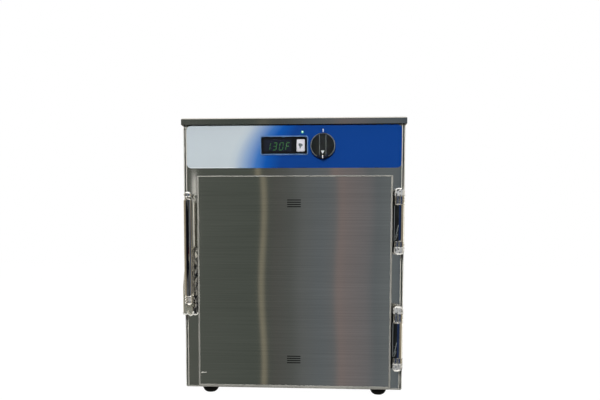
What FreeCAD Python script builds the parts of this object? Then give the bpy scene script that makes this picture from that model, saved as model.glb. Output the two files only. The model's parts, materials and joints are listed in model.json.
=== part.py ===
# Countertop blanket warmer cabinet: a folded steel case with one heated chamber behind a hinged
# door, a control panel above the door, and a fan and a tubular heater behind the chamber.
# Millimetres. X runs to the right, Y runs from the front to the rear, Z is up.
# The origin lies under the middle of the whole cabinet, on the surface that its feet stand on.

import FreeCAD
import Part
import math
import os

from FreeCAD import Vector

# Case
body_width = 450.0
body_depth = 450.0
body_height = 553.8
case_sheet = 1.2
case_bend_radius = 4.0
case_rear_return = 14.0
foot_height = 20.0

# Lid
lid_sheet = 1.2
lid_side_overhang = 3.5
lid_front_overhang = 8.0
lid_rear_overhang = 3.5
lid_flange = 13.2
lid_edge_radius = 3.2

# Clearances, and how far a cutting form runs past the face that it cuts
seat_gap = 0.3
panel_gap = 0.5
running_gap = 0.05
press_gap = 0.02
knuckle_gap = 0.6
key_gap = 0.35
past = 1.0

# Wires and tubes are made with flats, an even number of them
wire_sides = 6
same = 1e-6

# Front layout
latch_strip = 32.8
hinge_strip = 25.2
header_height = 116.7
door_bottom_gap = 6.6

# Door
door_front_proud = 30.0
door_back_proud = 4.0
door_sheet = 1.0
door_edge_radius = 1.9
door_corner_radius = 2.0
inner_pan_flange = 11.0
door_wool_margin = 8.0
vent_slot_length = 27.3
vent_slot_height = 1.9
vent_slot_pitch = 4.45
vent_slot_count = 4
vent_upper_drop = 55.2
vent_lower_rise = 59.2
gasket_width = 12.0
gasket_inset = 5.0
gasket_corner_radius = 8.0
gasket_edge_bevel = 1.6

# Chamber
chamber_overlap = 20.0
machine_space = 67.6
chamber_corner_radius = 9.0
liner_sheet = 1.0
liner_flange = 13.0
rear_insulation = 24.0
wool_gap = 4.0

# Base pan and feet
base_slot_length = 60.0
base_slot_width = 5.0
base_slot_pitch = 13.0
base_slot_count = 6
base_slot_rear_inset = 90.0
foot_radius = 18.0
foot_rim_height = 4.0
foot_flat_radius = 8.0
foot_belly_radius = 14.5
foot_belly_height = 6.5
foot_side_inset = 45.0
foot_end_inset = 46.0
foot_pocket_flats = 10.0
foot_pocket_depth = 7.0

# Rear panel
rear_sheet = 1.2
louvre_width = 90.0
louvre_height = 7.0
louvre_pitch = 14.0
louvre_proud = 2.8
louvre_wall = 0.8
louvre_count = 3
louvre_side_offset = 66.0
louvre_upper_drop = 28.0
louvre_lower_rise = 150.0

# Control overlay
overlay_side_margin = 6.1
overlay_height = 85.5
overlay_drop = 56.1
overlay_thickness = 0.8
overlay_corner_radius = 8.5

# Display
display_x = -18.3
display_drop = 53.6
bezel_width = 97.7
bezel_height = 38.8
bezel_proud = 2.6
bezel_corner_radius = 4.5
bezel_edge_bevel = 1.0
bezel_rim = 2.3
housing_width = 92.0
housing_height = 31.0
housing_depth = 14.0
housing_wall = 2.0
window_thickness = 1.6
window_recess = 0.5
digit_module_margin = 2.0
board_thickness = 1.6

# Key
key_x = 15.4
key_drop = 54.0
key_width = 15.7
key_height = 25.5
key_corner_radius = 2.2
key_edge_bevel = 0.6
key_proud = 1.2
key_travel = 1.0
key_stem_width = 6.0
key_flange = 1.2
key_flange_thickness = 1.0
key_switch_height = 4.0

# Indicator lamp
lamp_x = 18.8
lamp_drop = 26.8
lamp_radius = 2.6
lamp_tip_radius = 1.3
lamp_tip_height = 1.8
lamp_proud = 0.8
lamp_flange_flats = 8.2
lamp_flange_height = 3.0
lamp_body_length = 12.0

# Rotary switch and knob
knob_x = 60.3
knob_drop = 55.3
knob_radius = 25.5
knob_height = 21.0
knob_lift = 1.0
knob_skirt_height = 7.5
knob_skirt_bevel = 1.0
knob_grip_radius = 24.2
knob_grip_width = 11.0
knob_grip_bevel = 1.2
knob_scoop_radius = 17.0
knob_recess_flats = 20.0
knob_recess_depth = 6.0
switch_shaft_radius = 3.0
switch_shaft_flat = 0.8
switch_shaft_reach = 17.0
switch_shaft_root = 20.0
switch_bushing_radius = 5.0
switch_bushing_reach = 4.5
switch_nut_flats = 13.0
switch_nut_height = 2.2
switch_body_width = 34.0
switch_body_height = 38.0
switch_body_depth = 30.0
tab_width = 6.3
tab_thickness = 0.8
tab_length = 8.0

# Hinges
hinge_height = 134.0
hinge_upper_drop = 91.2
hinge_lower_rise = 103.5
hinge_barrel_radius = 10.3
hinge_axis_proud = 23.0
hinge_leaf_thickness = 2.4
hinge_leaf_gap = 0.7
hinge_top_knuckle = 33.0
hinge_bottom_knuckle = 28.0
hinge_tip_radius = 5.4
hinge_tip_height = 4.4
hinge_web_front_inset = 1.5
hinge_web_rear_reach = 4.0
hinge_web_drop = 7.0
hinge_plate_thickness = 2.5
hinge_plate_inset = 1.0
hinge_plate_bevel = 3.0
hinge_barrel_wall = 2.0
hinge_mouth_edge = 0.5
hinge_mouth_depth = 3.0
hinge_strap_reach = 3.6
hinge_pin_radius = 4.0
hinge_pin_end_margin = 9.0
hinge_cam_gap = 0.8
hinge_cam_split = 24.0

# Latch
latch_base_width = 30.9
latch_base_height = 139.0
latch_base_rise = 148.4
latch_base_proud = 28.0
latch_base_back = 2.6
latch_lobe_height = 5.0
latch_lobe_count = 3
latch_edge_bevel = 2.0
latch_bulge_height = 58.0
latch_shoulder_height = 26.0
latch_waist = 4.5
latch_slope_height = 22.0
latch_slope_depth = 14.0
latch_slot_gap = 0.4
latch_slot_floor = 12.0
latch_swing_room = 5.0
latch_pin_cover = 1.0
lever_width = 15.4
lever_flat = 4.0
lever_length = 226.0
lever_foot_rise = 24.7
lever_front_proud = 46.0
lever_thickness = 11.0
lever_crown = 3.6
lever_boss_radius = 9.0
lever_boss_proud = 24.0
lever_ball_radius = 8.8
lever_ball_height = 15.0
lever_ball_bands = 3
lever_neck_radius = 5.6
lever_neck_height = 2.2
lever_foot_radius = 8.6
lever_foot_end_radius = 5.0
lever_foot_end_height = 3.0
lever_foot_drop = 3.0
lever_groove_radius = 7.4
lever_bead_height = 5.4
lever_bead_count = 2
lever_pin_radius = 2.5
strike_width = 25.0
strike_height = 112.0
strike_thickness = 2.0
strike_corner_radius = 4.0
magnet_width = 20.0
magnet_height = 60.0
magnet_depth = 6.0

# Air baffle
plenum_depth = 46.0
baffle_sheet = 1.0
baffle_side_gap = 6.0
baffle_intake_radius = 54.0
baffle_intake_pitch = 12.0
baffle_slot_width = 6.0
baffle_slot_length = 34.0
baffle_slot_count = 6
baffle_slot_margin = 24.0

# Fan
impeller_radius = 58.0
impeller_width = 22.0
impeller_plate = 1.6
impeller_blade_count = 8
impeller_blade_thickness = 1.5
impeller_blade_root = 20.0
impeller_blade_sweep = 30.0
impeller_blade_rim = 3.5
impeller_hub_radius = 9.0
impeller_hub_length = 18.0
impeller_wall_gap = 7.0
fan_shaft_radius = 3.0
fan_shaft_hole_gap = 2.0
fan_shaft_end = 2.0
motor_stack_size = 56.0
motor_stack_depth = 20.0
motor_stack_chamfer = 8.0
motor_bridge_width = 18.0
motor_bridge_depth = 4.0
motor_boss_radius = 7.0
motor_boss_depth = 3.0
motor_stand = 6.0
motor_room = 8.0
bracket_sheet = 1.6
bracket_ear = 12.0
bracket_width = 30.0

# Heater
heater_tube_radius = 4.0
heater_bend_radius = 26.0
heater_half_width = 92.0
heater_half_height = 92.0
heater_end_half_gap = 16.0
heater_end_bend = 14.0
heater_tail_room = 5.0
heater_clip_width = 12.0
heater_clip_sheet = 1.2
heater_clip_wrap = 4.0

# Shelf
shelf_rise = 196.0
shelf_frame_radius = 3.2
shelf_rod_radius = 1.9
shelf_rod_sink = 0.7
shelf_rod_count = 12
shelf_tie_count = 2
shelf_front_gap = 10.0
shelf_rear_gap = 8.0
shelf_side_gap = 3.0
shelf_corner_radius = 14.0
shelf_lift = 0.1
rail_height = 14.0
rail_width = 12.0
rail_sheet = 1.2
rail_end_gap = 6.0
rail_end_bevel = 5.0

# Probe and limit switch
probe_radius = 2.5
probe_length = 42.0
probe_drop = 40.0
probe_rear_gap = 29.2
probe_collar_radius = 7.0
probe_collar_height = 2.5
probe_room = 2.0
limit_radius = 8.0
limit_height = 9.0
limit_plate_length = 32.0
limit_plate_width = 16.0
limit_plate_sheet = 1.2
limit_side_offset = 56.2
limit_rear_gap = 81.2
limit_clearance = 6.0

# Tray of the control compartment and what stands on it
tray_drop = 97.0
tray_sheet = 1.2
tray_flange = 14.0
tray_front_gap = 8.0
standoff_height = 8.0
standoff_flats = 6.0
standoff_inset = 6.0
control_board_side_margin = 153.5
control_board_depth = 150.0
control_board_width = 120.0
control_board_length = 90.0
board_part_margin = 4.0
transformer_width = 32.0
transformer_length = 28.0
transformer_height = 26.0
chip_width = 18.0
chip_length = 12.0
chip_height = 3.0
capacitor_radius = 5.0
capacitor_height = 14.0
capacitor_count = 2
connector_width = 16.0
connector_length = 9.0
connector_height = 9.0
connector_count = 5
relay_side_margin = 153.5
relay_depth = 165.0
relay_width = 45.0
relay_length = 58.0
relay_height = 22.0
relay_notch_width = 8.0
relay_notch_length = 4.0
relay_lug_width = 9.0
relay_lug_height = 2.5
terminal_side_margin = 93.5
terminal_rear_gap = 150.0
terminal_pitch = 12.0
terminal_wall = 1.5
terminal_count = 6
terminal_length = 24.0
terminal_height = 16.0
fuse_side_margin = 53.5
fuse_depth = 250.0
fuse_base_width = 16.0
fuse_base_length = 44.0
fuse_base_height = 8.0
fuse_tube_radius = 3.2
fuse_clip_sheet = 1.0
fuse_clip_length = 6.0

# Power inlet and supply harness
inlet_side_margin = 75.0
inlet_drop = 56.0
inlet_flange_width = 50.0
inlet_flange_height = 24.0
inlet_flange_thickness = 2.2
inlet_body_width = 31.0
inlet_body_height = 22.0
inlet_body_depth = 24.0
inlet_socket_width = 24.4
inlet_socket_height = 16.4
inlet_socket_depth = 18.0
inlet_socket_chamfer = 4.5
inlet_pin_width = 4.0
inlet_pin_thickness = 2.0
inlet_pin_length = 12.0
inlet_pin_spread = 7.0
inlet_pin_lift = 2.0
inlet_corner_radius = 5.0
harness_radius = 1.7
harness_bend_radius = 14.0
harness_run = 18.0

# Places that follow from the sizes above
overall_depth = lever_front_proud + body_depth + lid_rear_overhang
front_y = lever_front_proud - overall_depth / 2
rear_y = front_y + body_depth
base_z = foot_height
top_z = base_z + body_height
inner_front_y = front_y + case_sheet
inner_rear_y = rear_y - rear_sheet

door_left = latch_strip - body_width / 2
door_right = body_width / 2 - hinge_strip
door_bottom = base_z + door_bottom_gap
door_top = top_z - header_height
door_x = (door_left + door_right) / 2
door_front_y = front_y - door_front_proud
door_back_y = front_y - door_back_proud

chamber_left = door_left + chamber_overlap
chamber_right = door_right - chamber_overlap
chamber_floor = door_bottom + chamber_overlap
chamber_roof = door_top - chamber_overlap
chamber_rear_y = inner_rear_y - machine_space
chamber_x = (chamber_left + chamber_right) / 2
base_flange = chamber_floor - liner_sheet - liner_flange - panel_gap - base_z
fan_z = (chamber_floor + chamber_roof) / 2
baffle_y = chamber_rear_y - plenum_depth
heater_y = chamber_rear_y - plenum_depth / 2
shelf_z = chamber_floor + shelf_rise
probe_y = chamber_rear_y - probe_rear_gap
probe_z = chamber_roof - probe_drop
impeller_back_y = chamber_rear_y - impeller_wall_gap
motor_front_y = chamber_rear_y + liner_sheet + motor_stand + bracket_sheet

display_z = top_z - display_drop
key_z = top_z - key_drop
lamp_z = top_z - lamp_drop
knob_z = top_z - knob_drop
overlay_z = top_z - overlay_drop
overlay_face_y = front_y - overlay_thickness
bezel_front_y = overlay_face_y - bezel_proud
window_front_y = bezel_front_y + window_recess
window_back_y = window_front_y + window_thickness
board_y = front_y + housing_depth
key_switch_y = board_y - key_switch_height

tray_z = top_z - tray_drop
tray_top = tray_z + tray_sheet
tray_half = body_width / 2 - case_sheet - seat_gap
control_board_x = control_board_side_margin - tray_half
fuse_x = fuse_side_margin - tray_half
relay_x = tray_half - relay_side_margin
terminal_x = tray_half - terminal_side_margin
terminal_y = rear_y - terminal_rear_gap
inlet_x = body_width / 2 - inlet_side_margin
inlet_z = top_z - inlet_drop

hinge_axis_x = door_right + hinge_leaf_thickness + hinge_leaf_gap + hinge_barrel_radius
hinge_axis_y = front_y - hinge_axis_proud
hinge_cam_radius = hinge_barrel_radius - hinge_barrel_wall - seat_gap
hinge_centres = [door_top - hinge_upper_drop, door_bottom + hinge_lower_rise]

latch_right = door_left - seat_gap
latch_left = latch_right - latch_base_width
latch_x = (latch_left + latch_right) / 2
latch_bottom = door_bottom + latch_base_rise
latch_middle_z = latch_bottom + latch_base_height / 2
latch_front_y = front_y - latch_base_proud
lever_front_y = front_y - lever_front_proud
lever_bottom = latch_bottom + lever_foot_rise
lever_top = lever_bottom + lever_length
lever_pivot_z = lever_bottom + lever_boss_radius
lever_pivot_y = front_y - lever_boss_proud
lever_foot_z = lever_bottom - lever_foot_drop

ahead = Vector(0, -1, 0)
rearward = Vector(0, 1, 0)
upward = Vector(0, 0, 1)
rightward = Vector(1, 0, 0)


# Basic forms

def box(x_range, y_range, z_range):
    size = [span[1] - span[0] for span in (x_range, y_range, z_range)]
    return Part.makeBox(size[0], size[1], size[2], Vector(x_range[0], y_range[0], z_range[0]))


def about(centre, width):
    return (centre - width / 2, centre + width / 2)


def between(one, other):
    return (min(one, other), max(one, other))


def edges_along(shape, direction, keep):
    # Straight edges that run along one direction and whose middle keep() accepts
    chosen = []
    for edge in shape.Edges:
        if len(edge.Vertexes) < 2:
            continue
        run = edge.Vertexes[1].Point - edge.Vertexes[0].Point
        straight = abs(run.Length - edge.Length) < same
        if straight and run.cross(direction).Length < same * run.Length and keep(edge.CenterOfMass):
            chosen.append(edge)
    return chosen


def everywhere(point):
    return True


def rounded(shape, direction, radius, keep=everywhere):
    return shape.makeFillet(radius, edges_along(shape, direction, keep))


def bevelled(shape, direction, size, keep=everywhere):
    return shape.makeChamfer(size, edges_along(shape, direction, keep))


def edges_at_y(shape, y):
    return [edge for edge in shape.Edges if abs(edge.CenterOfMass.y - y) < same]


def plate_xz(x_range, y_range, z_range, radius):
    # A plate that faces the front, with rounded corners
    return rounded(box(x_range, y_range, z_range), rearward, radius)


def rod(start, end, radius):
    run = end - start
    return Part.makeCylinder(radius, run.Length, start, run)


def prism(points, run):
    # A solid swept from a flat outline of straight sides
    return Part.Face(Part.makePolygon(points + [points[0]])).extrude(run)


def turned(steps, foot, axis):
    # A solid of revolution from steps of radius and height along an axis
    outline = [Vector(0, 0, steps[0][1])] + [Vector(radius, 0, height) for radius, height in steps]
    outline.append(Vector(0, 0, steps[-1][1]))
    solid = Part.Face(Part.makePolygon(outline + [outline[0]])).revolve(Vector(0, 0, 0), upward, 360)
    solid.Placement = FreeCAD.Placement(foot, FreeCAD.Rotation(upward, axis))
    return solid


def ring_of_corners(centre, axis, reach, count, first_angle):
    # Corners of a regular outline across an axis, the first one turned from the side direction
    side = upward if abs(axis.z) < abs(axis.x) + abs(axis.y) else rightward
    side = (side - axis * side.dot(axis)).normalize()
    other = axis.cross(side)
    corners = []
    for step in range(count):
        angle = first_angle + 2 * math.pi * step / count
        corners.append(centre + side * (reach * math.cos(angle)) + other * (reach * math.sin(angle)))
    return corners


def hexagon(centre, flats, run):
    # A hexagonal prism across the given flats
    axis = Vector(run).normalize()
    return prism(ring_of_corners(centre, axis, flats / math.sqrt(3), 6, 0.0), run)


def fused(shapes):
    return shapes[0].multiFuse(shapes[1:]).removeSplitter() if len(shapes) > 1 else shapes[0]


def grouped(shapes):
    return Part.makeCompound(shapes)


def bent_wire(points, bend_radii, radius):
    # Wire of straight runs joined by tangent bends, each corner with its own bend radius
    start = points[0]
    ahead_of_start = (points[1] - start).normalize()
    corners = ring_of_corners(start, ahead_of_start, radius, wire_sides, math.pi / wire_sides)
    section = Part.Face(Part.makePolygon(corners + [corners[0]]))
    runs = []
    for corner, after, bend_radius in zip(points[1:], points[2:], bend_radii):
        back = (start - corner).normalize()
        onward = (after - corner).normalize()
        half = back.getAngle(onward) / 2
        cut = bend_radius / math.tan(half)
        run = corner + back * cut - start
        runs.append(section.extrude(run))
        section.translate(run)
        pivot = corner + (back + onward).normalize() * (bend_radius / math.sin(half))
        axis = onward.cross(back)
        turn = 180 - math.degrees(2 * half)
        runs.append(section.revolve(pivot, axis, turn))
        section.rotate(pivot, axis, turn)
        start = corner + onward * cut
    runs.append(section.extrude(points[-1] - start))
    return fused(runs)


def flat_reach(radius):
    # How far the flats of a wire lie from its axis
    return radius * math.cos(math.pi / wire_sides)


# Case

def case_opening_cutter():
    # The chamber's mouth, cut through the front sheet
    return plate_xz((chamber_left, chamber_right), (front_y - past, inner_front_y + past),
                    (chamber_floor, chamber_roof), chamber_corner_radius)


def panel_cutters(y_range):
    # Openings for the display housing, the lamp and the switch bushing
    housing = box(about(display_x, housing_width + 2 * seat_gap), y_range,
                  about(display_z, housing_height + 2 * seat_gap))
    lamp = rod(Vector(lamp_x, y_range[0], lamp_z), Vector(lamp_x, y_range[1], lamp_z), lamp_radius + seat_gap)
    bushing = rod(Vector(knob_x, y_range[0], knob_z), Vector(knob_x, y_range[1], knob_z),
                  switch_bushing_radius + seat_gap)
    return [housing, lamp, bushing]


def make_cabinet_shell():
    # Front and sides folded from one sheet, with a return along each rear edge
    half = body_width / 2
    z_range = (base_z, top_z)
    outer = rounded(box((-half, half), (front_y, inner_rear_y), z_range), upward, case_bend_radius,
                    lambda p: p.y < inner_front_y)
    inner = box((case_sheet - half, half - case_sheet), (inner_front_y, rear_y),
                (base_z - past, top_z + past))
    inner = rounded(inner, upward, case_bend_radius - case_sheet, lambda p: p.y < inner_front_y + past)
    folds = [outer.cut(inner)]
    for side in (-1, 1):
        x_range = between(side * (half - case_sheet), side * (half - case_rear_return))
        folds.append(box(x_range, (inner_rear_y - case_sheet, inner_rear_y), z_range))
    cuts = panel_cutters((front_y - past, inner_front_y + past))
    return fused(folds).cut([case_opening_cutter()] + cuts)


def make_top_cap():
    # Lid folded down on all four sides, with mitred corners
    half = body_width / 2 + lid_side_overhang
    y_range = (front_y - lid_front_overhang, rear_y + lid_rear_overhang)
    top = top_z + lid_sheet
    outer = box((-half, half), y_range, (top - lid_flange, top))
    outer = outer.makeFillet(lid_edge_radius, [e for e in outer.Edges if e.CenterOfMass.z > top - same])
    hollow = box((lid_sheet - half, half - lid_sheet), (y_range[0] + lid_sheet, y_range[1] - lid_sheet),
                 (top - lid_flange - past, top_z))
    inner_edges = [e for e in hollow.Edges if e.CenterOfMass.z > top_z - same]
    return outer.cut(hollow.makeFillet(lid_edge_radius - lid_sheet, inner_edges))


def make_base_pan():
    inset = case_sheet + seat_gap
    half = body_width / 2 - inset
    y_range = (front_y + inset, inner_rear_y - case_sheet - seat_gap)
    corner = case_bend_radius - case_sheet
    pan = rounded(box((-half, half), y_range, (base_z, base_z + base_flange)), upward, corner)
    hollow = box((case_sheet - half, half - case_sheet), (y_range[0] + case_sheet, y_range[1] - case_sheet),
                 (base_z + case_sheet, base_z + base_flange + past))
    cuts = [rounded(hollow, upward, corner - case_sheet)]
    first = rear_y - base_slot_rear_inset - (base_slot_count - 1) * base_slot_pitch / 2
    for step in range(base_slot_count):
        cuts.append(box(about(0, base_slot_length), about(first + step * base_slot_pitch, base_slot_width),
                        (base_z - past, base_z + case_sheet + past)))
    return pan.cut(cuts)


def foot_places():
    half = body_width / 2 - foot_side_inset
    rows = (front_y + foot_end_inset, rear_y - foot_end_inset)
    return [Vector(side * half, y, 0) for y in rows for side in (-1, 1)]


def make_rubber_feet():
    # Short rim, then two turned steps down to a small flat, with a six sided pocket for the screw head
    profile = [(foot_flat_radius, 0), (foot_belly_radius, foot_belly_height),
               (foot_radius, foot_height - foot_rim_height), (foot_radius, foot_height)]
    feet = []
    for place in foot_places():
        pocket = hexagon(place, foot_pocket_flats, upward * foot_pocket_depth)
        feet.append(turned(profile, place, upward).cut(pocket))
    return grouped(feet)


# Rear panel

def louvre_places():
    places = []
    for side in (-1, 1):
        for step in range(louvre_count):
            x = side * louvre_side_offset
            places.append((x, top_z - louvre_upper_drop - step * louvre_pitch))
            places.append((x, base_z + louvre_lower_rise - step * louvre_pitch))
    return places


def louvre_hood(x, z, inset):
    # A pressed hood that opens downwards, wedge shaped from the side
    left = x - louvre_width / 2 + inset
    out = rear_y + louvre_proud - inset
    high = z + louvre_height / 2 - inset
    low = z - louvre_height / 2 - inset
    brow = z - louvre_height / 4
    profile = [Vector(left, inner_rear_y, high), Vector(left, rear_y, high), Vector(left, out, brow),
               Vector(left, out, low), Vector(left, inner_rear_y, low)]
    return prism(profile, Vector(louvre_width - 2 * inset, 0, 0))


def make_rear_panel():
    half = body_width / 2
    panel = box((-half, half), (inner_rear_y, rear_y), (base_z, top_z))
    hoods = [louvre_hood(x, z, 0) for x, z in louvre_places()]
    hollows = [louvre_hood(x, z, louvre_wall) for x, z in louvre_places()]
    inlet = box(about(inlet_x, inlet_body_width + 2 * seat_gap), (inner_rear_y - past, rear_y + past),
                about(inlet_z, inlet_body_height + 2 * seat_gap))
    return fused([panel] + hoods).cut(hollows + [inlet])


# Chamber

def make_chamber_liner():
    x_range = (chamber_left - liner_sheet, chamber_right + liner_sheet)
    z_range = (chamber_floor - liner_sheet, chamber_roof + liner_sheet)
    outer = plate_xz(x_range, (inner_front_y, chamber_rear_y + liner_sheet), z_range,
                     chamber_corner_radius + liner_sheet)
    flange = box((x_range[0] - liner_flange, x_range[1] + liner_flange),
                 (inner_front_y, inner_front_y + liner_sheet),
                 (z_range[0] - liner_flange, z_range[1] + liner_flange))
    cuts = [plate_xz((chamber_left, chamber_right), (front_y - past, chamber_rear_y),
                     (chamber_floor, chamber_roof), chamber_corner_radius)]
    before = chamber_rear_y - past
    behind = chamber_rear_y + liner_sheet + past
    cuts.append(rod(Vector(chamber_x, before, fan_z), Vector(chamber_x, behind, fan_z),
                    fan_shaft_radius + fan_shaft_hole_gap))
    for x in heater_end_places():
        z = fan_z - heater_half_height
        cuts.append(rod(Vector(x, before, z), Vector(x, behind, z), heater_tube_radius + seat_gap))
    cuts.append(rod(probe_point(-past), probe_point(liner_sheet + past), probe_radius + seat_gap))
    return fused([outer, flange]).cut(cuts)


def wool_ranges():
    # Depth and height that the wool slabs share, clear of the liner's front flange
    y_range = (inner_front_y + liner_sheet + panel_gap, chamber_rear_y + liner_sheet)
    return y_range, (base_z + base_flange + panel_gap, tray_z - panel_gap)


def make_insulation_sides():
    y_range, z_range = wool_ranges()
    outer = body_width / 2 - case_sheet - panel_gap
    left = box((-outer, chamber_left - liner_sheet - panel_gap), y_range, z_range)
    right = box((chamber_right + liner_sheet + panel_gap, outer), y_range, z_range)
    room = 2 * (probe_collar_radius + probe_room)
    pocket = box((chamber_right, outer + past), about(probe_y, room), about(probe_z, room))
    return grouped([left, right.cut(pocket)])


def make_insulation_top():
    y_range, z_range = wool_ranges()
    roof = chamber_roof + liner_sheet + seat_gap
    slab = box((chamber_left - liner_sheet, chamber_right + liner_sheet), y_range, (roof, z_range[1]))
    pocket = box(about(chamber_x + limit_side_offset, limit_plate_length + limit_clearance),
                 about(chamber_rear_y - limit_rear_gap, limit_plate_width + 2 * limit_clearance),
                 (roof - past, z_range[1] + past))
    return slab.cut(pocket)


def make_insulation_bottom():
    return box((chamber_left - liner_sheet, chamber_right + liner_sheet), wool_ranges()[0],
               (base_z + case_sheet + wool_gap, chamber_floor - liner_sheet - seat_gap))


def make_insulation_rear():
    low_y = chamber_rear_y + liner_sheet + seat_gap
    cut_y = (low_y - past, low_y + rear_insulation + past)
    slab = box((chamber_left - liner_sheet, chamber_right + liner_sheet), (low_y, low_y + rear_insulation),
               (chamber_floor - liner_sheet, chamber_roof + liner_sheet))
    cuts = [box(about(chamber_x, bracket_span() + 2 * motor_room), cut_y,
                about(fan_z, motor_stack_size + 2 * motor_room))]
    room = 2 * (heater_tube_radius + heater_tail_room)
    for x in heater_end_places():
        cuts.append(box(about(x, room), cut_y, about(fan_z - heater_half_height, room)))
    return slab.cut(cuts)


def make_air_baffle():
    # Sheet in front of the fan: intake slots that fill a circle, outlet slots down both sides
    x_range = (chamber_left + baffle_side_gap, chamber_right - baffle_side_gap)
    z_range = (chamber_floor + seat_gap, chamber_roof - seat_gap)
    parts = [plate_xz(x_range, (baffle_y, baffle_y + baffle_sheet), z_range, chamber_corner_radius)]
    for z in (z_range[0], z_range[1] - baffle_sheet):
        parts.append(box((x_range[0] + chamber_corner_radius, x_range[1] - chamber_corner_radius),
                         (baffle_y, chamber_rear_y - seat_gap), (z, z + baffle_sheet)))
    cut_y = (baffle_y - past, baffle_y + baffle_sheet + past)
    reach = int((baffle_intake_radius - baffle_slot_width) / baffle_intake_pitch)
    cuts = []
    for step in range(-reach, reach + 1):
        offset = step * baffle_intake_pitch
        length = 2 * math.sqrt(baffle_intake_radius ** 2 - offset ** 2)
        cuts.append(box(about(chamber_x + offset, baffle_slot_width), cut_y, about(fan_z, length)))
    pitch = (z_range[1] - z_range[0]) / baffle_slot_count
    for x in (x_range[0] + baffle_slot_margin, x_range[1] - baffle_slot_margin):
        for step in range(baffle_slot_count):
            z = z_range[0] + pitch / 2 + pitch * step
            cuts.append(box(about(x, baffle_slot_width), cut_y, about(z, baffle_slot_length)))
    return fused(parts).cut(cuts)


# Shelf

def make_shelf_rails():
    rails = []
    top = shelf_z - flat_reach(shelf_frame_radius) - shelf_lift
    y_range = (inner_front_y + rail_end_gap, baffle_y - rail_end_gap)
    for side, wall in ((1, chamber_left), (-1, chamber_right)):
        upright = box(between(wall, wall + side * rail_sheet), y_range, (top - rail_height, top))
        ledge = box(between(wall, wall + side * rail_width), y_range, (top - rail_sheet, top))
        ledge = bevelled(ledge, upward, rail_end_bevel, lambda p: abs(p.x - wall) > rail_sheet)
        rails.append(fused([upright, ledge]))
    return grouped(rails)


def make_wire_shelf():
    # Bent frame wire with rods laid across it from front to rear and two ties under them
    left = chamber_left + shelf_side_gap + shelf_frame_radius
    right = chamber_right - shelf_side_gap - shelf_frame_radius
    front = inner_front_y + shelf_front_gap
    rear = baffle_y - shelf_rear_gap - shelf_frame_radius
    middle = (left + right) / 2
    corners = [Vector(right, front, shelf_z), Vector(right, rear, shelf_z),
               Vector(left, rear, shelf_z), Vector(left, front, shelf_z)]
    ends = Vector(middle, front, shelf_z)
    wires = [bent_wire([ends] + corners + [ends], [shelf_corner_radius] * len(corners), shelf_frame_radius)]
    rod_z = shelf_z + flat_reach(shelf_frame_radius) + flat_reach(shelf_rod_radius) - shelf_rod_sink
    pitch = (right - left) / (shelf_rod_count + 1)
    for step in range(1, shelf_rod_count + 1):
        x = left + step * pitch
        wires.append(bent_wire([Vector(x, front, rod_z), Vector(x, rear, rod_z)], [], shelf_rod_radius))
    tie_z = rod_z - 2 * flat_reach(shelf_rod_radius) + shelf_rod_sink
    for step in range(1, shelf_tie_count + 1):
        y = front + step * (rear - front) / (shelf_tie_count + 1)
        wires.append(bent_wire([Vector(left, y, tie_z), Vector(right, y, tie_z)], [], shelf_rod_radius))
    return fused(wires)


# Sensors

def probe_point(outward):
    # A point on the probe's axis, measured out from the chamber's right wall
    return Vector(chamber_right + outward, probe_y, probe_z)


def make_temperature_probe():
    tip = probe_collar_height + liner_sheet + probe_length
    steps = [(probe_collar_radius, 0), (probe_collar_radius, probe_collar_height),
             (probe_radius, probe_collar_height), (probe_radius, tip)]
    collar_out = probe_point(liner_sheet + probe_collar_height)
    return turned(steps, collar_out, rightward * -1)


def make_limit_switch():
    seat = chamber_roof + liner_sheet
    x = chamber_x + limit_side_offset
    y = chamber_rear_y - limit_rear_gap
    plate = box(about(x, limit_plate_length), about(y, limit_plate_width), (seat, seat + limit_plate_sheet))
    can = Part.makeCylinder(limit_radius, limit_height, Vector(x, y, seat))
    tabs = [box(about(x + side * limit_radius / 2, tab_thickness), about(y, tab_width),
                (seat + limit_height, seat + limit_height + tab_length)) for side in (-1, 1)]
    return fused([plate, can] + tabs)


# Heater and fan

def heater_end_places():
    return [chamber_x - heater_end_half_gap, chamber_x + heater_end_half_gap]


def make_heater_element():
    # One tube bent into a rounded loop round the fan, with both ends led out at the rear
    low = fan_z - heater_half_height
    high = fan_z + heater_half_height
    left = chamber_x - heater_half_width
    right = chamber_x + heater_half_width
    ends = heater_end_places()
    tail_y = chamber_rear_y + liner_sheet + rear_insulation / 2
    points = [Vector(ends[0], tail_y, low), Vector(ends[0], heater_y, low), Vector(left, heater_y, low),
              Vector(left, heater_y, high), Vector(right, heater_y, high), Vector(right, heater_y, low),
              Vector(ends[1], heater_y, low), Vector(ends[1], tail_y, low)]
    bends = [heater_end_bend] + [heater_bend_radius] * (len(points) - 4) + [heater_end_bend]
    return bent_wire(points, bends, heater_tube_radius)


def make_heater_clips():
    clips = []
    wrap = heater_tube_radius + heater_clip_wrap
    for side in (-1, 1):
        x = chamber_x + side * heater_half_width
        tab = box(about(x, 2 * wrap), (heater_y - wrap, chamber_rear_y), about(fan_z, heater_clip_sheet))
        tab = bevelled(tab, upward, wrap / 2, lambda p: p.y < heater_y)
        foot = box(about(x, 2 * wrap), (chamber_rear_y - heater_clip_sheet, chamber_rear_y),
                   (fan_z, fan_z + heater_clip_width))
        hole = rod(Vector(x, heater_y, fan_z - wrap), Vector(x, heater_y, fan_z + wrap),
                   heater_tube_radius + seat_gap)
        clips.append(fused([tab, foot]).cut(hole))
    return grouped(clips)


def bracket_span():
    return motor_stack_size + 2 * bracket_sheet + 2 * bracket_ear


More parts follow.
